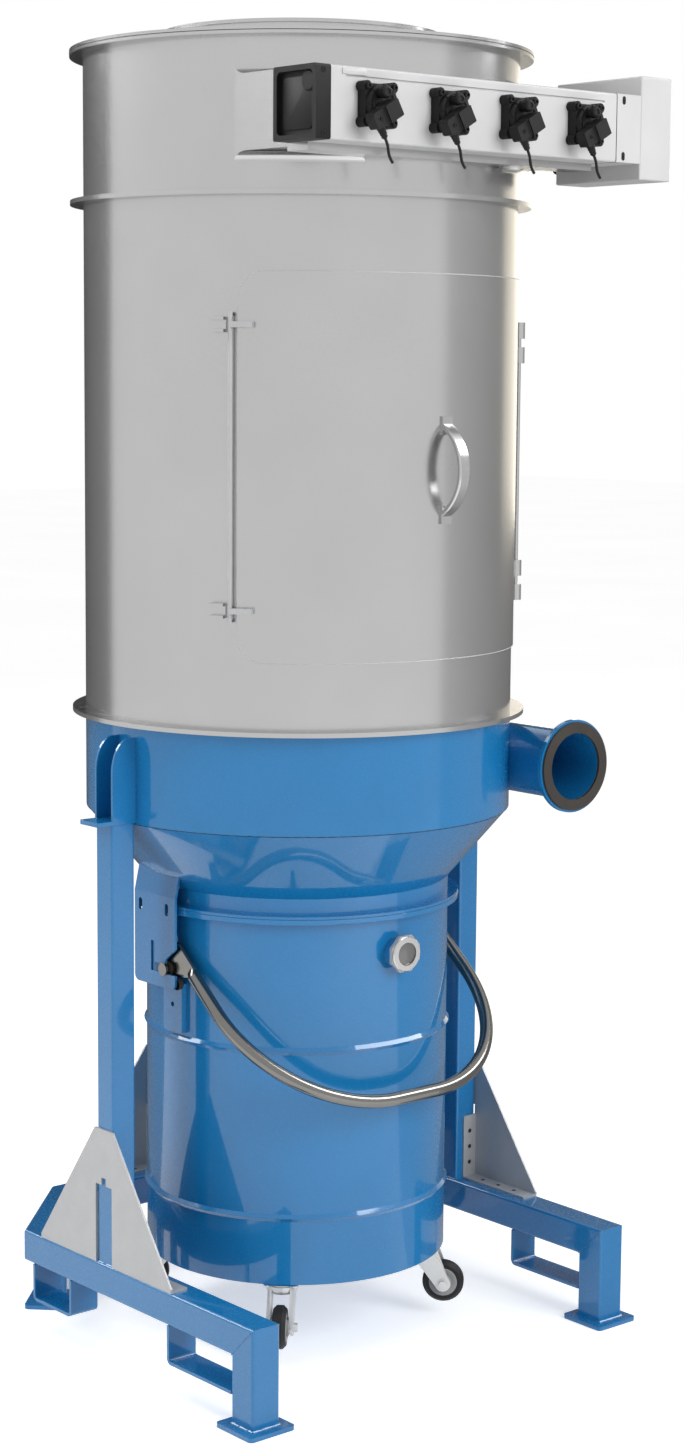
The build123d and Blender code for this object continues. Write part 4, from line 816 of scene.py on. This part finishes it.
def ear_parts(angle):
    """One ear: two cheeks on a sole, at an angle about the vessel's axis."""
    side = about_axis(angle)
    parts = []
    for x in (EAR_HALF, EAR_T - EAR_HALF):
        stand = Matrix(((0, 0, -1, x), (-1, 0, 0, 0), (0, 1, 0, 0), (0, 0, 0, 1)))
        parts.append((plate(ear_cheek(), EAR_T), side @ stand))
    sole = rounded(2 * EAR_HALF, EAR_REACH - EAR_ROOT_R, EAR_SOLE_CORNER)
    middle = shift(0.0, -(EAR_REACH + EAR_ROOT_R) / 2, EAR_FOOT_Z - EAR_SOLE_T)
    return parts + [(plate(sole, EAR_SOLE_T), side @ middle)]


class BAGFILTER_OT_shell_fittings(bpy.types.Operator):
    """Lid seal, the hopper's weld, ears and seam, the door's edge and the web behind its latch rod."""
    bl_idname = "bagfilter.shell_fittings"
    bl_label = "Shell Fittings"

    def execute(self, context):
        bead = context.scene.bag_filter_sizes.weld
        seal = [(FLANGE_R + out, LID_LOW.z + rise) for out, rise in LID_SEAL]
        add_piece("lid_seal", "rubber", [(turned(seal, 180), AXIS)])
        line = [(x, y, CONE_HIGH.z) for x, y in round_loop(SHELL_R - bead / 2, WELD_STEPS)]
        bead_ring = rod(line, bead / 2, 6, closed=True, ripple=0.15)
        add_piece("hopper_welds", "blue", [(bead_ring, AXIS)])
        ears = [part for angle in EAR_ANGLES for part in ear_parts(angle)]
        add_piece("ear_plates", "blue", ears, replaced=("hopper_ears",))
        edge = rod(door_outline(), DOOR_EDGE_R, 8, closed=True)
        add_piece("door_edge", "galvanised", [(edge, Matrix.Identity(4))], "door")
        span = ROD_HIGH.z - ROD_LOW.z - 2 * WEB_INSET
        web = plate(rounded(WEB_W, span, WEB_CORNER), WEB_OUT_R - WEB_FOOT_R)
        stand = facing_front(0.0, -WEB_FOOT_R, (ROD_LOW.z + ROD_HIGH.z) / 2)
        add_piece("latch_web", "steel", [(web, about_axis(ROD_ANGLE) @ stand)], "door")
        line = [(x, y, CONE_HIGH.z - bead / 2) for x, y in round_loop(SHELL_R - bead / 2, SEAM_STEPS)]
        add_piece("hopper_seam", "black", [(rod(line, bead / 3, 6, closed=True), AXIS)])
        return {"FINISHED"}


# Filter bags
BAG_R = 0.060
BAG_PITCH = 0.156
BAGS_PER_ROW = (3, 4, 4, 3)
BAG_WIRES = 10
BAG_STEPS = 80
BAG_RINGS = 16
BAG_MOUTH_R = 0.052
BAG_TAIL = 0.03
BAG_WALL = 0.004
BAG_RING_HOLD = 0.001
SNAP_RING = ((-0.001, 0.0), (-0.001, 0.0025), (0.004, 0.0025), (0.006, 0.001), (0.006, 0.0))


def bag_places():
    """Plan positions of the bags, in one row under each valve."""
    places = []
    for x, count in zip(VALVE_XS, BAGS_PER_ROW):
        places += [(x, AXIS_Y + (i - (count - 1) / 2) * BAG_PITCH) for i in range(count)]
    return places


def bag_loop(radius, pinch):
    """Outline of a bag drawn in between its cage's wires."""
    points = []
    for i in range(BAG_STEPS):
        angle = 2 * pi * i / BAG_STEPS
        reach = radius - pinch * (1.0 - abs(cos(BAG_WIRES / 2 * angle)))
        points.append((reach * cos(angle), reach * sin(angle)))
    return points


def bag(pinch):
    """One felt bag, open at its mouth and drawn in between the wires of its cage."""
    form = bmesh.new()
    low, high = BAGS_LOW.z, BAGS_HIGH.z
    point = [(0.0, 0.0)]
    levels = [(point, low + 0.004), (round_loop(BAG_R - 0.012, BAG_STEPS), low),
              (bag_loop(BAG_R - 0.002, pinch / 2), low + 0.008)]
    for i in range(BAG_RINGS + 1):
        height = low + BAG_TAIL + i / BAG_RINGS * (high - low - 2 * BAG_TAIL)
        levels.append((bag_loop(BAG_R - BAG_RING_HOLD * (i % 2), pinch), height))
    inside = round_loop(BAG_MOUTH_R - BAG_WALL, BAG_STEPS)
    levels += [(round_loop(BAG_R - 0.003, BAG_STEPS), high - 0.006),
               (round_loop(BAG_MOUTH_R, BAG_STEPS), high), (inside, high - BAG_WALL),
               (inside, low + BAG_TAIL), (point, low + BAG_TAIL)]
    rings = [ring_of(form, outline, height) for outline, height in levels]
    for first, second in zip(rings, rings[1:]):
        wall(form, first, second)
    return form


class BAGFILTER_OT_filter_bags(bpy.types.Operator):
    """Felt bags on their cages, with a snap ring at each mouth."""
    bl_idname = "bagfilter.filter_bags"
    bl_label = "Filter Bags"

    def execute(self, context):
        pinch = context.scene.bag_filter_sizes.pinch
        bags, rings = [], []
        for x, y in bag_places():
            bags.append((bag(pinch), shift(x, y)))
            profile = [(BAG_MOUTH_R + out, height) for out, height in SNAP_RING]
            rings.append((turned(profile, 40), shift(x, y, SHEET_HIGH.z)))
        add_piece("felt_bags", "felt", bags, replaced=("filter_bags",))
        add_piece("bag_snap_rings", "zinc", rings)
        return {"FINISHED"}


# Drum, bail and castors
SIGHT_GLASS = ((0.0, 0.0016), (0.012, 0.0014), (0.0190, 0.0008), (0.0212, 0.0003))
SIGHT_RECESS = 0.004
SIGHT_NUT = 0.067
SIGHT_NUT_BORE_R = 0.029
SIGHT_NUT_T = 0.007
SIGHT_NUT_SINK = 0.001
RIM_ROLL = 0.006
RIM_PROUD = 0.0005
RIM_CHAMFER = 0.0015
SEAL_T = 0.0018
PLATE_T = 0.005
SLOT_YS = (-0.008, 0.072)
SLOT_Z = 0.8355
# Black plates behind the side plates' slots: painted shade that stands in for the shadow seen through the
# slots
SLOT_SHADE_PLATE = (0.014, 0.028, 0.002)
SLOT_SHADE_PLATE_T = 0.0012
BAIL_PIVOT = (-0.002, 0.724)
BAIL_BUSH = ((0.0082, 0.0), (0.014, 0.0), (0.014, 0.0045), (0.0082, 0.0045))
BAIL_BUSH_START = 0.3072
BAIL_STOP = ((0.0, 0.012), (0.008, 0.012), (0.010, 0.010), (0.010, 0.0))
BAIL_STOP_PLACE = (-0.031, 0.699)
CASTOR_RING_R = 0.250
CASTOR_TRAIL = 0.038
AXLE_Z = 0.071
AXLE_WASHER = (0.0105, 0.004, 0.0014)
AXLE_NUT = (0.0145, 0.0065)
AXLE_NUT_LIFT = 0.0012
HUB_FACE = ((0.0055, 0.0163), (0.0060, 0.0166), (0.0160, 0.0166), (0.0172, 0.0158), (0.0172, 0.0127),
            (0.0200, 0.0135), (0.0255, 0.0138), (0.0272, 0.0126))
FORK_FACE = 0.020
FORK_COVER_T = 0.005
FORK_EYE_R = 0.015
FORK_EYE_STEPS = 18
FORK_HEAD = ((0.062, 0.058), (0.062, 0.072), (0.014, 0.072), (0.014, 0.058))
SWIVEL_COVER = ((0.0, 0.128), (0.026, 0.128), (0.0295, 0.132), (0.0305, 0.136), (0.0305, 0.1425),
                (0.0, 0.1425))
PLATE_BOLT = 0.0262
PLATE_BOLT_HEAD = (0.0095, 0.004)
PLATE_BOTTOM_Z = 0.147


def add_sight_port():
    """Glass of the sight port, and the nut behind its ring."""
    sight_z = (RING_LOW.z + RING_HIGH.z) / 2
    place = facing_front(0.0, RING_LOW.y + SIGHT_RECESS, sight_z)
    add_piece("sight_glass", "glass", [(turned(SIGHT_GLASS, 48), place)], "drum")
    nut = hollow_plate(flats_loop(8, SIGHT_NUT, 48), round_loop(SIGHT_NUT_BORE_R, 48), SIGHT_NUT_T)
    place = facing_front(0.0, RING_HIGH.y - SIGHT_NUT_SINK, sight_z)
    add_piece("sight_nut", "galvanised", [(nut, place)], "drum")


def add_rim_band():
    """Rolled band round the drum's rim, which covers the edge of the seal."""
    inner = RIM_HIGH.x - RIM_ROLL
    outer = RIM_HIGH.x + RIM_PROUD
    top = RIM_HIGH.z + SEAL_T
    band = [(inner, RIM_LOW.z - RIM_PROUD), (outer - RIM_CHAMFER, RIM_LOW.z - RIM_PROUD),
            (outer, RIM_LOW.z + RIM_CHAMFER), (outer, top - RIM_PROUD), (outer - RIM_PROUD, top),
            (inner, top)]
    add_piece("rim_band", "blue", [(turned(band, 180), AXIS)], "drum")


def add_side_plate_fittings():
    """Black plates of painted shade behind the side plates' slots, the bail's bushes and its stops."""
    x = abs(PLATE_LOW.x) - PLATE_T - SLOT_SHADE_PLATE_T
    # Black plates set just behind the slots paint the shade seen through them
    shade_plates = [(plate(rounded(*SLOT_SHADE_PLATE), SLOT_SHADE_PLATE_T), facing_side(sign * x, AXIS_Y + y, SLOT_Z, sign))
             for sign in (-1, 1) for y in SLOT_YS]
    add_piece("slot_backs", "black", shade_plates)
    y, z = BAIL_PIVOT
    bushes = [(turned(BAIL_BUSH), facing_side(sign * BAIL_BUSH_START, AXIS_Y + y, z, sign))
              for sign in (-1, 1)]
    add_piece("bail_bushes", "rubber", bushes, "bail")
    y, z = BAIL_STOP_PLACE
    x = PLATE_HIGH.x - PLATE_T
    stops = [(turned(BAIL_STOP, 28), facing_side(sign * x, AXIS_Y + y, z, -sign)) for sign in (-1, 1)]
    add_piece("bail_stops", "rubber", stops)


def fork_cover():
    """Outline of a fork's pressed cheek, from the axle's eye up to the swivel's head, about the axle."""
    angles = [radians(160.0 + 180.0 * i / FORK_EYE_STEPS) for i in range(FORK_EYE_STEPS + 1)]
    return [(FORK_EYE_R * cos(angle), FORK_EYE_R * sin(angle)) for angle in angles] + list(FORK_HEAD)


def add_castor(name, angle):
    """Hubs, fork cheeks, swivel cover and axle nuts of one castor."""
    pivot = about_axis(angle) @ shift(0.0, -CASTOR_RING_R)
    middle = pivot @ shift(0.0, -CASTOR_TRAIL, AXLE_Z)
    axle = middle @ turn(QUARTER, "Y")
    ends = (axle, axle @ turn(pi, "X"))
    add_piece("wheel_hub_" + name, "hub", [(turned(HUB_FACE, 40), end) for end in ends], name + "_wheel")
    covers = []
    for x in (-FORK_FACE - FORK_COVER_T, FORK_FACE):
        cheek = middle @ Matrix(((0, 0, 1, x), (1, 0, 0, 0), (0, 1, 0, 0), (0, 0, 0, 1)))
        covers.append((plate(fork_cover(), FORK_COVER_T), cheek))
    covers.append((turned(SWIVEL_COVER, 40), pivot))
    add_piece("fork_cheeks_" + name, "zinc", covers, name + "_castor")
    nuts = []
    for end in ends:
        side = end @ shift(z=FORK_FACE + FORK_COVER_T)
        nuts += [(washer(*AXLE_WASHER), side), (hex_head(*AXLE_NUT), side @ shift(z=AXLE_NUT_LIFT))]
    add_piece("axle_nuts_" + name, "zinc", nuts, name + "_castor")


class BAGFILTER_OT_drum_fittings(bpy.types.Operator):
    """Sight port, rim band, black plates of painted shade behind the slots, bail bushes and stops, and what
    the castors carry.
    """
    bl_idname = "bagfilter.drum_fittings"
    bl_label = "Drum Fittings"

    def execute(self, context):
        add_sight_port()
        add_rim_band()
        add_side_plate_fittings()
        bolts = []
        for name, angle in CASTORS.items():
            add_castor(name, angle)
            under = about_axis(angle) @ shift(0.0, -CASTOR_RING_R, PLATE_BOTTOM_Z) @ turn(pi, "X")
            bolts += [(hex_head(*PLATE_BOLT_HEAD), under @ shift(sx * PLATE_BOLT, sy * PLATE_BOLT))
                      for sx, sy in CORNERS]
        add_piece("castor_plate_bolts", "zinc", bolts, "drum")
        return {"FINISHED"}


# Stand
SKID_X = (SKID_LOW.x + SKID_HIGH.x) / 2
LEG_Y = -0.410
TUBE = 0.060
UPRIGHT = UPRIGHT_HIGH.x - UPRIGHT_LOW.x
FOOT_TOP_Z = 0.008
REAR_LEG = 0.33629
SKID_BOTTOM_Z = SKID_HIGH.z - TUBE
GUSSET_BOLT_Y = -0.4335
GUSSET_LIP_H = 0.130
GUSSET_FOOT = (0.025, 0.204)
GUSSET_HOLES = (0.25, 0.5, 0.75)
GUSSET_BOLT_H = 0.003
GUSSET_BOLT_SEAT = 0.0016
TUBE_EASE = 0.003


def square_weld(x, y, z, size, spin, radius):
    """Weld bead round the foot of a square tube."""
    half = size / 2
    corners = [(-half, -half, 0.0), (half, -half, 0.0), (half, half, 0.0), (-half, half, 0.0)]
    place = shift(x, y, z) @ turn(spin, "Z")
    return [(weld(start, end, radius), place) for start, end in zip(corners, corners[1:] + corners[:1])]


class BAGFILTER_OT_stand_fittings(bpy.types.Operator):
    """Bolts of the gussets and weld beads of the stand."""
    bl_idname = "bagfilter.stand_fittings"
    bl_label = "Stand Fittings"

    def execute(self, context):
        sizes = context.scene.bag_filter_sizes
        bead = sizes.weld
        bolts = []
        near, far = GUSSET_FOOT
        for angle in EAR_ANGLES:
            side = about_axis(angle)
            for share in GUSSET_HOLES:
                out = near + share * (far - near)
                rise = SKID_HIGH.z + share * GUSSET_LIP_H
                for sign in (-1, 1):
                    sole = shift(sign * out, GUSSET_BOLT_Y, SKID_HIGH.z + GUSSET_BOLT_SEAT)
                    lip = facing_side(sign * (near + GUSSET_BOLT_SEAT), GUSSET_BOLT_Y, rise, sign)
                    bolts += [(cap_screw(sizes.bolt, GUSSET_BOLT_H), side @ seat) for seat in (sole, lip)]
        add_piece("gusset_bolts", "rubber", bolts)
        parts = []
        for sign in (-1, 1):
            x = sign * abs(SKID_X)
            parts += square_weld(x, AXIS_Y + LEG_Y, FOOT_TOP_Z, TUBE, 0.0, bead)
            parts += square_weld(sign * REAR_LEG, AXIS_Y + REAR_LEG, FOOT_TOP_Z, TUBE, QUARTER / 2, bead)
            for edge in (-TUBE / 2, TUBE / 2):
                front = (x + edge, AXIS_Y + LEG_Y - TUBE / 2 + TUBE_EASE, SKID_HIGH.z - TUBE_EASE)
                back = (x + edge, AXIS_Y + LEG_Y + TUBE / 2, SKID_BOTTOM_Z)
                parts.append((weld(front, back, bead / 3), Matrix.Identity(4)))
        for angle in EAR_ANGLES:
            foot = square_weld(0.0, SKID_X, SKID_HIGH.z, UPRIGHT, 0.0, bead)
            parts += [(form, about_axis(angle) @ place) for form, place in foot]
        add_piece("stand_welds", "blue", parts)
        return {"FINISHED"}


# Stage
CAMERA_PLACE = (-3.18211, AXIS_Y - 3.86827, 1.81709)
CAMERA_TURN = (82.4096, -0.4281, -40.3329)
CAMERA_LENS = 44.09
SENSOR_HEIGHT = 24.0
TARGET = (0.0, 0.0, 1.2)
VIEW_ANGLE = -39.44
FLOOR_SIZE = 60.0
FLOOR_Z = -0.0005

# Lamps by angle, distance and height, then width and height
LAMPS = {"key": ((48.0, 5.0, 3.0), (2.4, 3.2)),
         "fill": ((-60.0, 4.4, 2.6), (1.6, 3.0)),
         "top": ((-100.0, 2.2, 4.2), (1.5, 1.2))}

# Cards: profiles by distance and height
CARD_STEPS = 24
CARD_R = 6.0
CARD_TOP = 4.5
CARD_FOOT_R = 0.45
CARD_FOOT_Z = 0.004
WARM_R = 24.0
WARM_TONE = (1.0, 0.93, 0.8)
BACK_R = 24.5
BACK_TOP = 20.0
STRIP_R = 5.8
STRIP_LEVELS = (10.0, 10.0)


def around(angle, reach, height):
    """Place at a distance from the object, at an angle to the right of the camera's own side."""
    turned_by = radians(VIEW_ANGLE + angle)
    return (reach * sin(turned_by), -reach * cos(turned_by), height)


def lamp(name, place, size, power):
    """A large soft rectangular lamp that faces the object and doesn't show in glossy surfaces."""
    light = bpy.data.lights.new(name, "AREA")
    light.shape = "RECTANGLE"
    light.size, light.size_y = size
    light.energy = power
    obj = new_object(name, light)
    obj.location = place
    obj.rotation_euler = (Vector(TARGET) - Vector(place)).to_track_quat("-Z", "Y").to_euler()
    obj.visible_glossy = False


def card(name, span, profile, levels, tone=WHITE, end_profile=None):
    """A curved studio card that shows only in glossy surfaces, with its light graded from edge to edge."""
    start, end = span
    rows = len(profile)
    mesh = bpy.data.meshes.new(name)
    points = []
    for i in range(CARD_STEPS + 1):
        angle = start + (end - start) * i / CARD_STEPS
        for (reach, height), (_, end_height) in zip(profile, end_profile or profile):
            points.append(around(angle, reach, height + (end_height - height) * i / CARD_STEPS))
    faces = [(rows * i + j, rows * (i + 1) + j, rows * (i + 1) + j + 1, rows * i + j + 1)
             for i in range(CARD_STEPS) for j in range(rows - 1)]
    mesh.from_pydata(points, [], faces)
    grade = mesh.uv_layers.new(name="grade")
    for loop in mesh.loops:
        grade.data[loop.index].uv = (loop.vertex_index // rows / CARD_STEPS, 0.0)
    obj = new_object(name, mesh)
    for ray in ("camera", "diffuse", "shadow", "transmission"):
        setattr(obj, "visible_" + ray, False)
    material, tree = new_material(name)
    tree.nodes.clear()
    layer = tree.nodes.new("ShaderNodeUVMap")
    layer.uv_map = "grade"
    split = tree.nodes.new("ShaderNodeSeparateXYZ")
    tree.links.new(layer.outputs["UV"], split.inputs["Vector"])
    glow = tree.nodes.new("ShaderNodeEmission")
    glow.inputs["Color"].default_value = (*tone, 1.0)
    tree.links.new(ramp(tree, split.outputs["X"], *levels, 0.0, 1.0), glow.inputs["Strength"])
    output = tree.nodes.new("ShaderNodeOutputMaterial")
    tree.links.new(glow.outputs["Emission"], output.inputs["Surface"])
    mesh.materials.append(material)


class BAGFILTER_OT_stage(bpy.types.Operator):
    """Sets the camera, the lamps, the pale floor and the white room."""
    bl_idname = "bagfilter.stage"
    bl_label = "Stage"

    def execute(self, context):
        scene = context.scene
        studio = scene.bag_filter_studio
        camera_data = bpy.data.cameras.new("photo_camera")
        camera_data.sensor_fit = "VERTICAL"
        camera_data.sensor_height = SENSOR_HEIGHT
        camera_data.lens = CAMERA_LENS
        camera = new_object("photo_camera", camera_data)
        camera.location = CAMERA_PLACE
        camera.rotation_euler = [radians(angle) for angle in CAMERA_TURN]
        scene.camera = camera

        bpy.ops.mesh.primitive_plane_add(size=FLOOR_SIZE, location=(0.0, 0.0, FLOOR_Z))
        floor = context.active_object
        floor.name = "studio_floor"
        floor.data.materials.append(floor_material())

        for name, (place, size) in LAMPS.items():
            lamp(name + "_lamp", around(*place), size, getattr(studio, name + "_power"))
        near = ((CARD_FOOT_R, CARD_FOOT_Z), (CARD_R, CARD_FOOT_Z), (CARD_R, CARD_TOP))
        far = ((CARD_FOOT_R, CARD_FOOT_Z), (BACK_R, CARD_FOOT_Z), (BACK_R, BACK_TOP))
        card("right_card", (79.0, 131.0), near, (0.68, 0.34))
        card("back_card", (131.0, 180.0), far, (0.34, 0.08))
        card("left_card", (-115.0, -180.0), near, (0.34, 0.0))
        card("warm_card", (131.0, 175.0), ((WARM_R, 0.2), (WARM_R, 5.2)), (0.75, 2.2), WARM_TONE)
        card("left_strip", (-88.0, -128.0), ((STRIP_R, 4.2), (STRIP_R, 7.4)), STRIP_LEVELS,
             end_profile=((STRIP_R, 3.3), (STRIP_R, 5.2)))
        card("right_strip", (56.0, 114.0), ((STRIP_R, 6.0), (STRIP_R, 11.0)), STRIP_LEVELS,
             end_profile=((STRIP_R, 3.1), (STRIP_R, 5.4)))
        scene.world = room(studio.world_light)
        scene.view_settings.view_transform = "Standard"
        return {"FINISHED"}


def seen_directly(tree):
    """1 where a surface is seen by the camera, in gloss or through glass, else 0."""
    path = tree.nodes.new("ShaderNodeLightPath")
    value = path.outputs["Is Camera Ray"]
    for name in ("Is Glossy Ray", "Is Transmission Ray"):
        either = tree.nodes.new("ShaderNodeMath")
        either.operation = "MAXIMUM"
        tree.links.new(value, either.inputs[0])
        tree.links.new(path.outputs[name], either.inputs[1])
        value = either.outputs[0]
    return value


def floor_material():
    """Pale floor that looks white to the camera, with the object's shadow on it."""
    material, tree = new_material("studio_floor")
    shader = tree.nodes["Principled BSDF"]
    grain = tree.nodes.new("ShaderNodeTexNoise")
    grain.inputs["Scale"].default_value = 40.0
    tree.links.new(ramp(tree, grain.outputs["Fac"], 0.90, 0.94), shader.inputs["Base Color"])
    shader.inputs["Roughness"].default_value = 0.9
    shader.inputs["Specular IOR Level"].default_value = 0.0
    shader.inputs["Emission Color"].default_value = (1.0, 1.0, 1.0, 1.0)
    tree.links.new(ramp(tree, seen_directly(tree), 0.0, 0.5, 0.0, 1.0), shader.inputs["Emission Strength"])
    return material


def room(strength):
    """White room: white where it is seen, directly or in metal, and an even light elsewhere."""
    world = bpy.data.worlds.new("white_room")
    world.use_nodes = True
    tree = world.node_tree
    tree.nodes.clear()
    background = tree.nodes.new("ShaderNodeBackground")
    background.inputs["Color"].default_value = (1.0, 1.0, 1.0, 1.0)
    tree.links.new(ramp(tree, seen_directly(tree), strength, 1.0, 0.0, 1.0), background.inputs["Strength"])
    output = tree.nodes.new("ShaderNodeOutputWorld")
    tree.links.new(background.outputs[0], output.inputs["Surface"])
    return world


OPERATORS = (BAGFILTER_OT_finishes, BAGFILTER_OT_tank_fittings, BAGFILTER_OT_valve_fittings,
             BAGFILTER_OT_valve_leads, BAGFILTER_OT_shell_fittings, BAGFILTER_OT_filter_bags,
             BAGFILTER_OT_drum_fittings, BAGFILTER_OT_stand_fittings, BAGFILTER_OT_stage)


class BAGFILTER_PT_panel(bpy.types.Panel):
    """Lists the steps and their settings."""
    bl_idname = "BAGFILTER_PT_panel"
    bl_label = "Bag Filter"
    bl_space_type = "VIEW_3D"
    bl_region_type = "UI"
    bl_category = "Bag Filter"

    def draw(self, context):
        scene = context.scene
        for operator in OPERATORS:
            self.layout.operator(operator.bl_idname)
        for settings in SETTINGS:
            group = getattr(scene, settings)
            for name in group.__annotations__:
                self.layout.prop(group, name)


SETTINGS = {"bag_filter_finishes": BagFilterFinishes, "bag_filter_sizes": BagFilterSizes,
            "bag_filter_studio": BagFilterStudio}
CLASSES = (*SETTINGS.values(), *OPERATORS, BAGFILTER_PT_panel)


def register():
    for cls in CLASSES:
        bpy.utils.register_class(cls)
    for settings, group in SETTINGS.items():
        setattr(bpy.types.Scene, settings, PointerProperty(type=group))


def unregister():
    for settings in SETTINGS:
        delattr(bpy.types.Scene, settings)
    for cls in reversed(CLASSES):
        bpy.utils.unregister_class(cls)


def main():
    register()
    for operator in OPERATORS:
        group, name = operator.bl_idname.split(".")
        getattr(getattr(bpy.ops, group), name)()


if __name__ == "__main__":
    main()
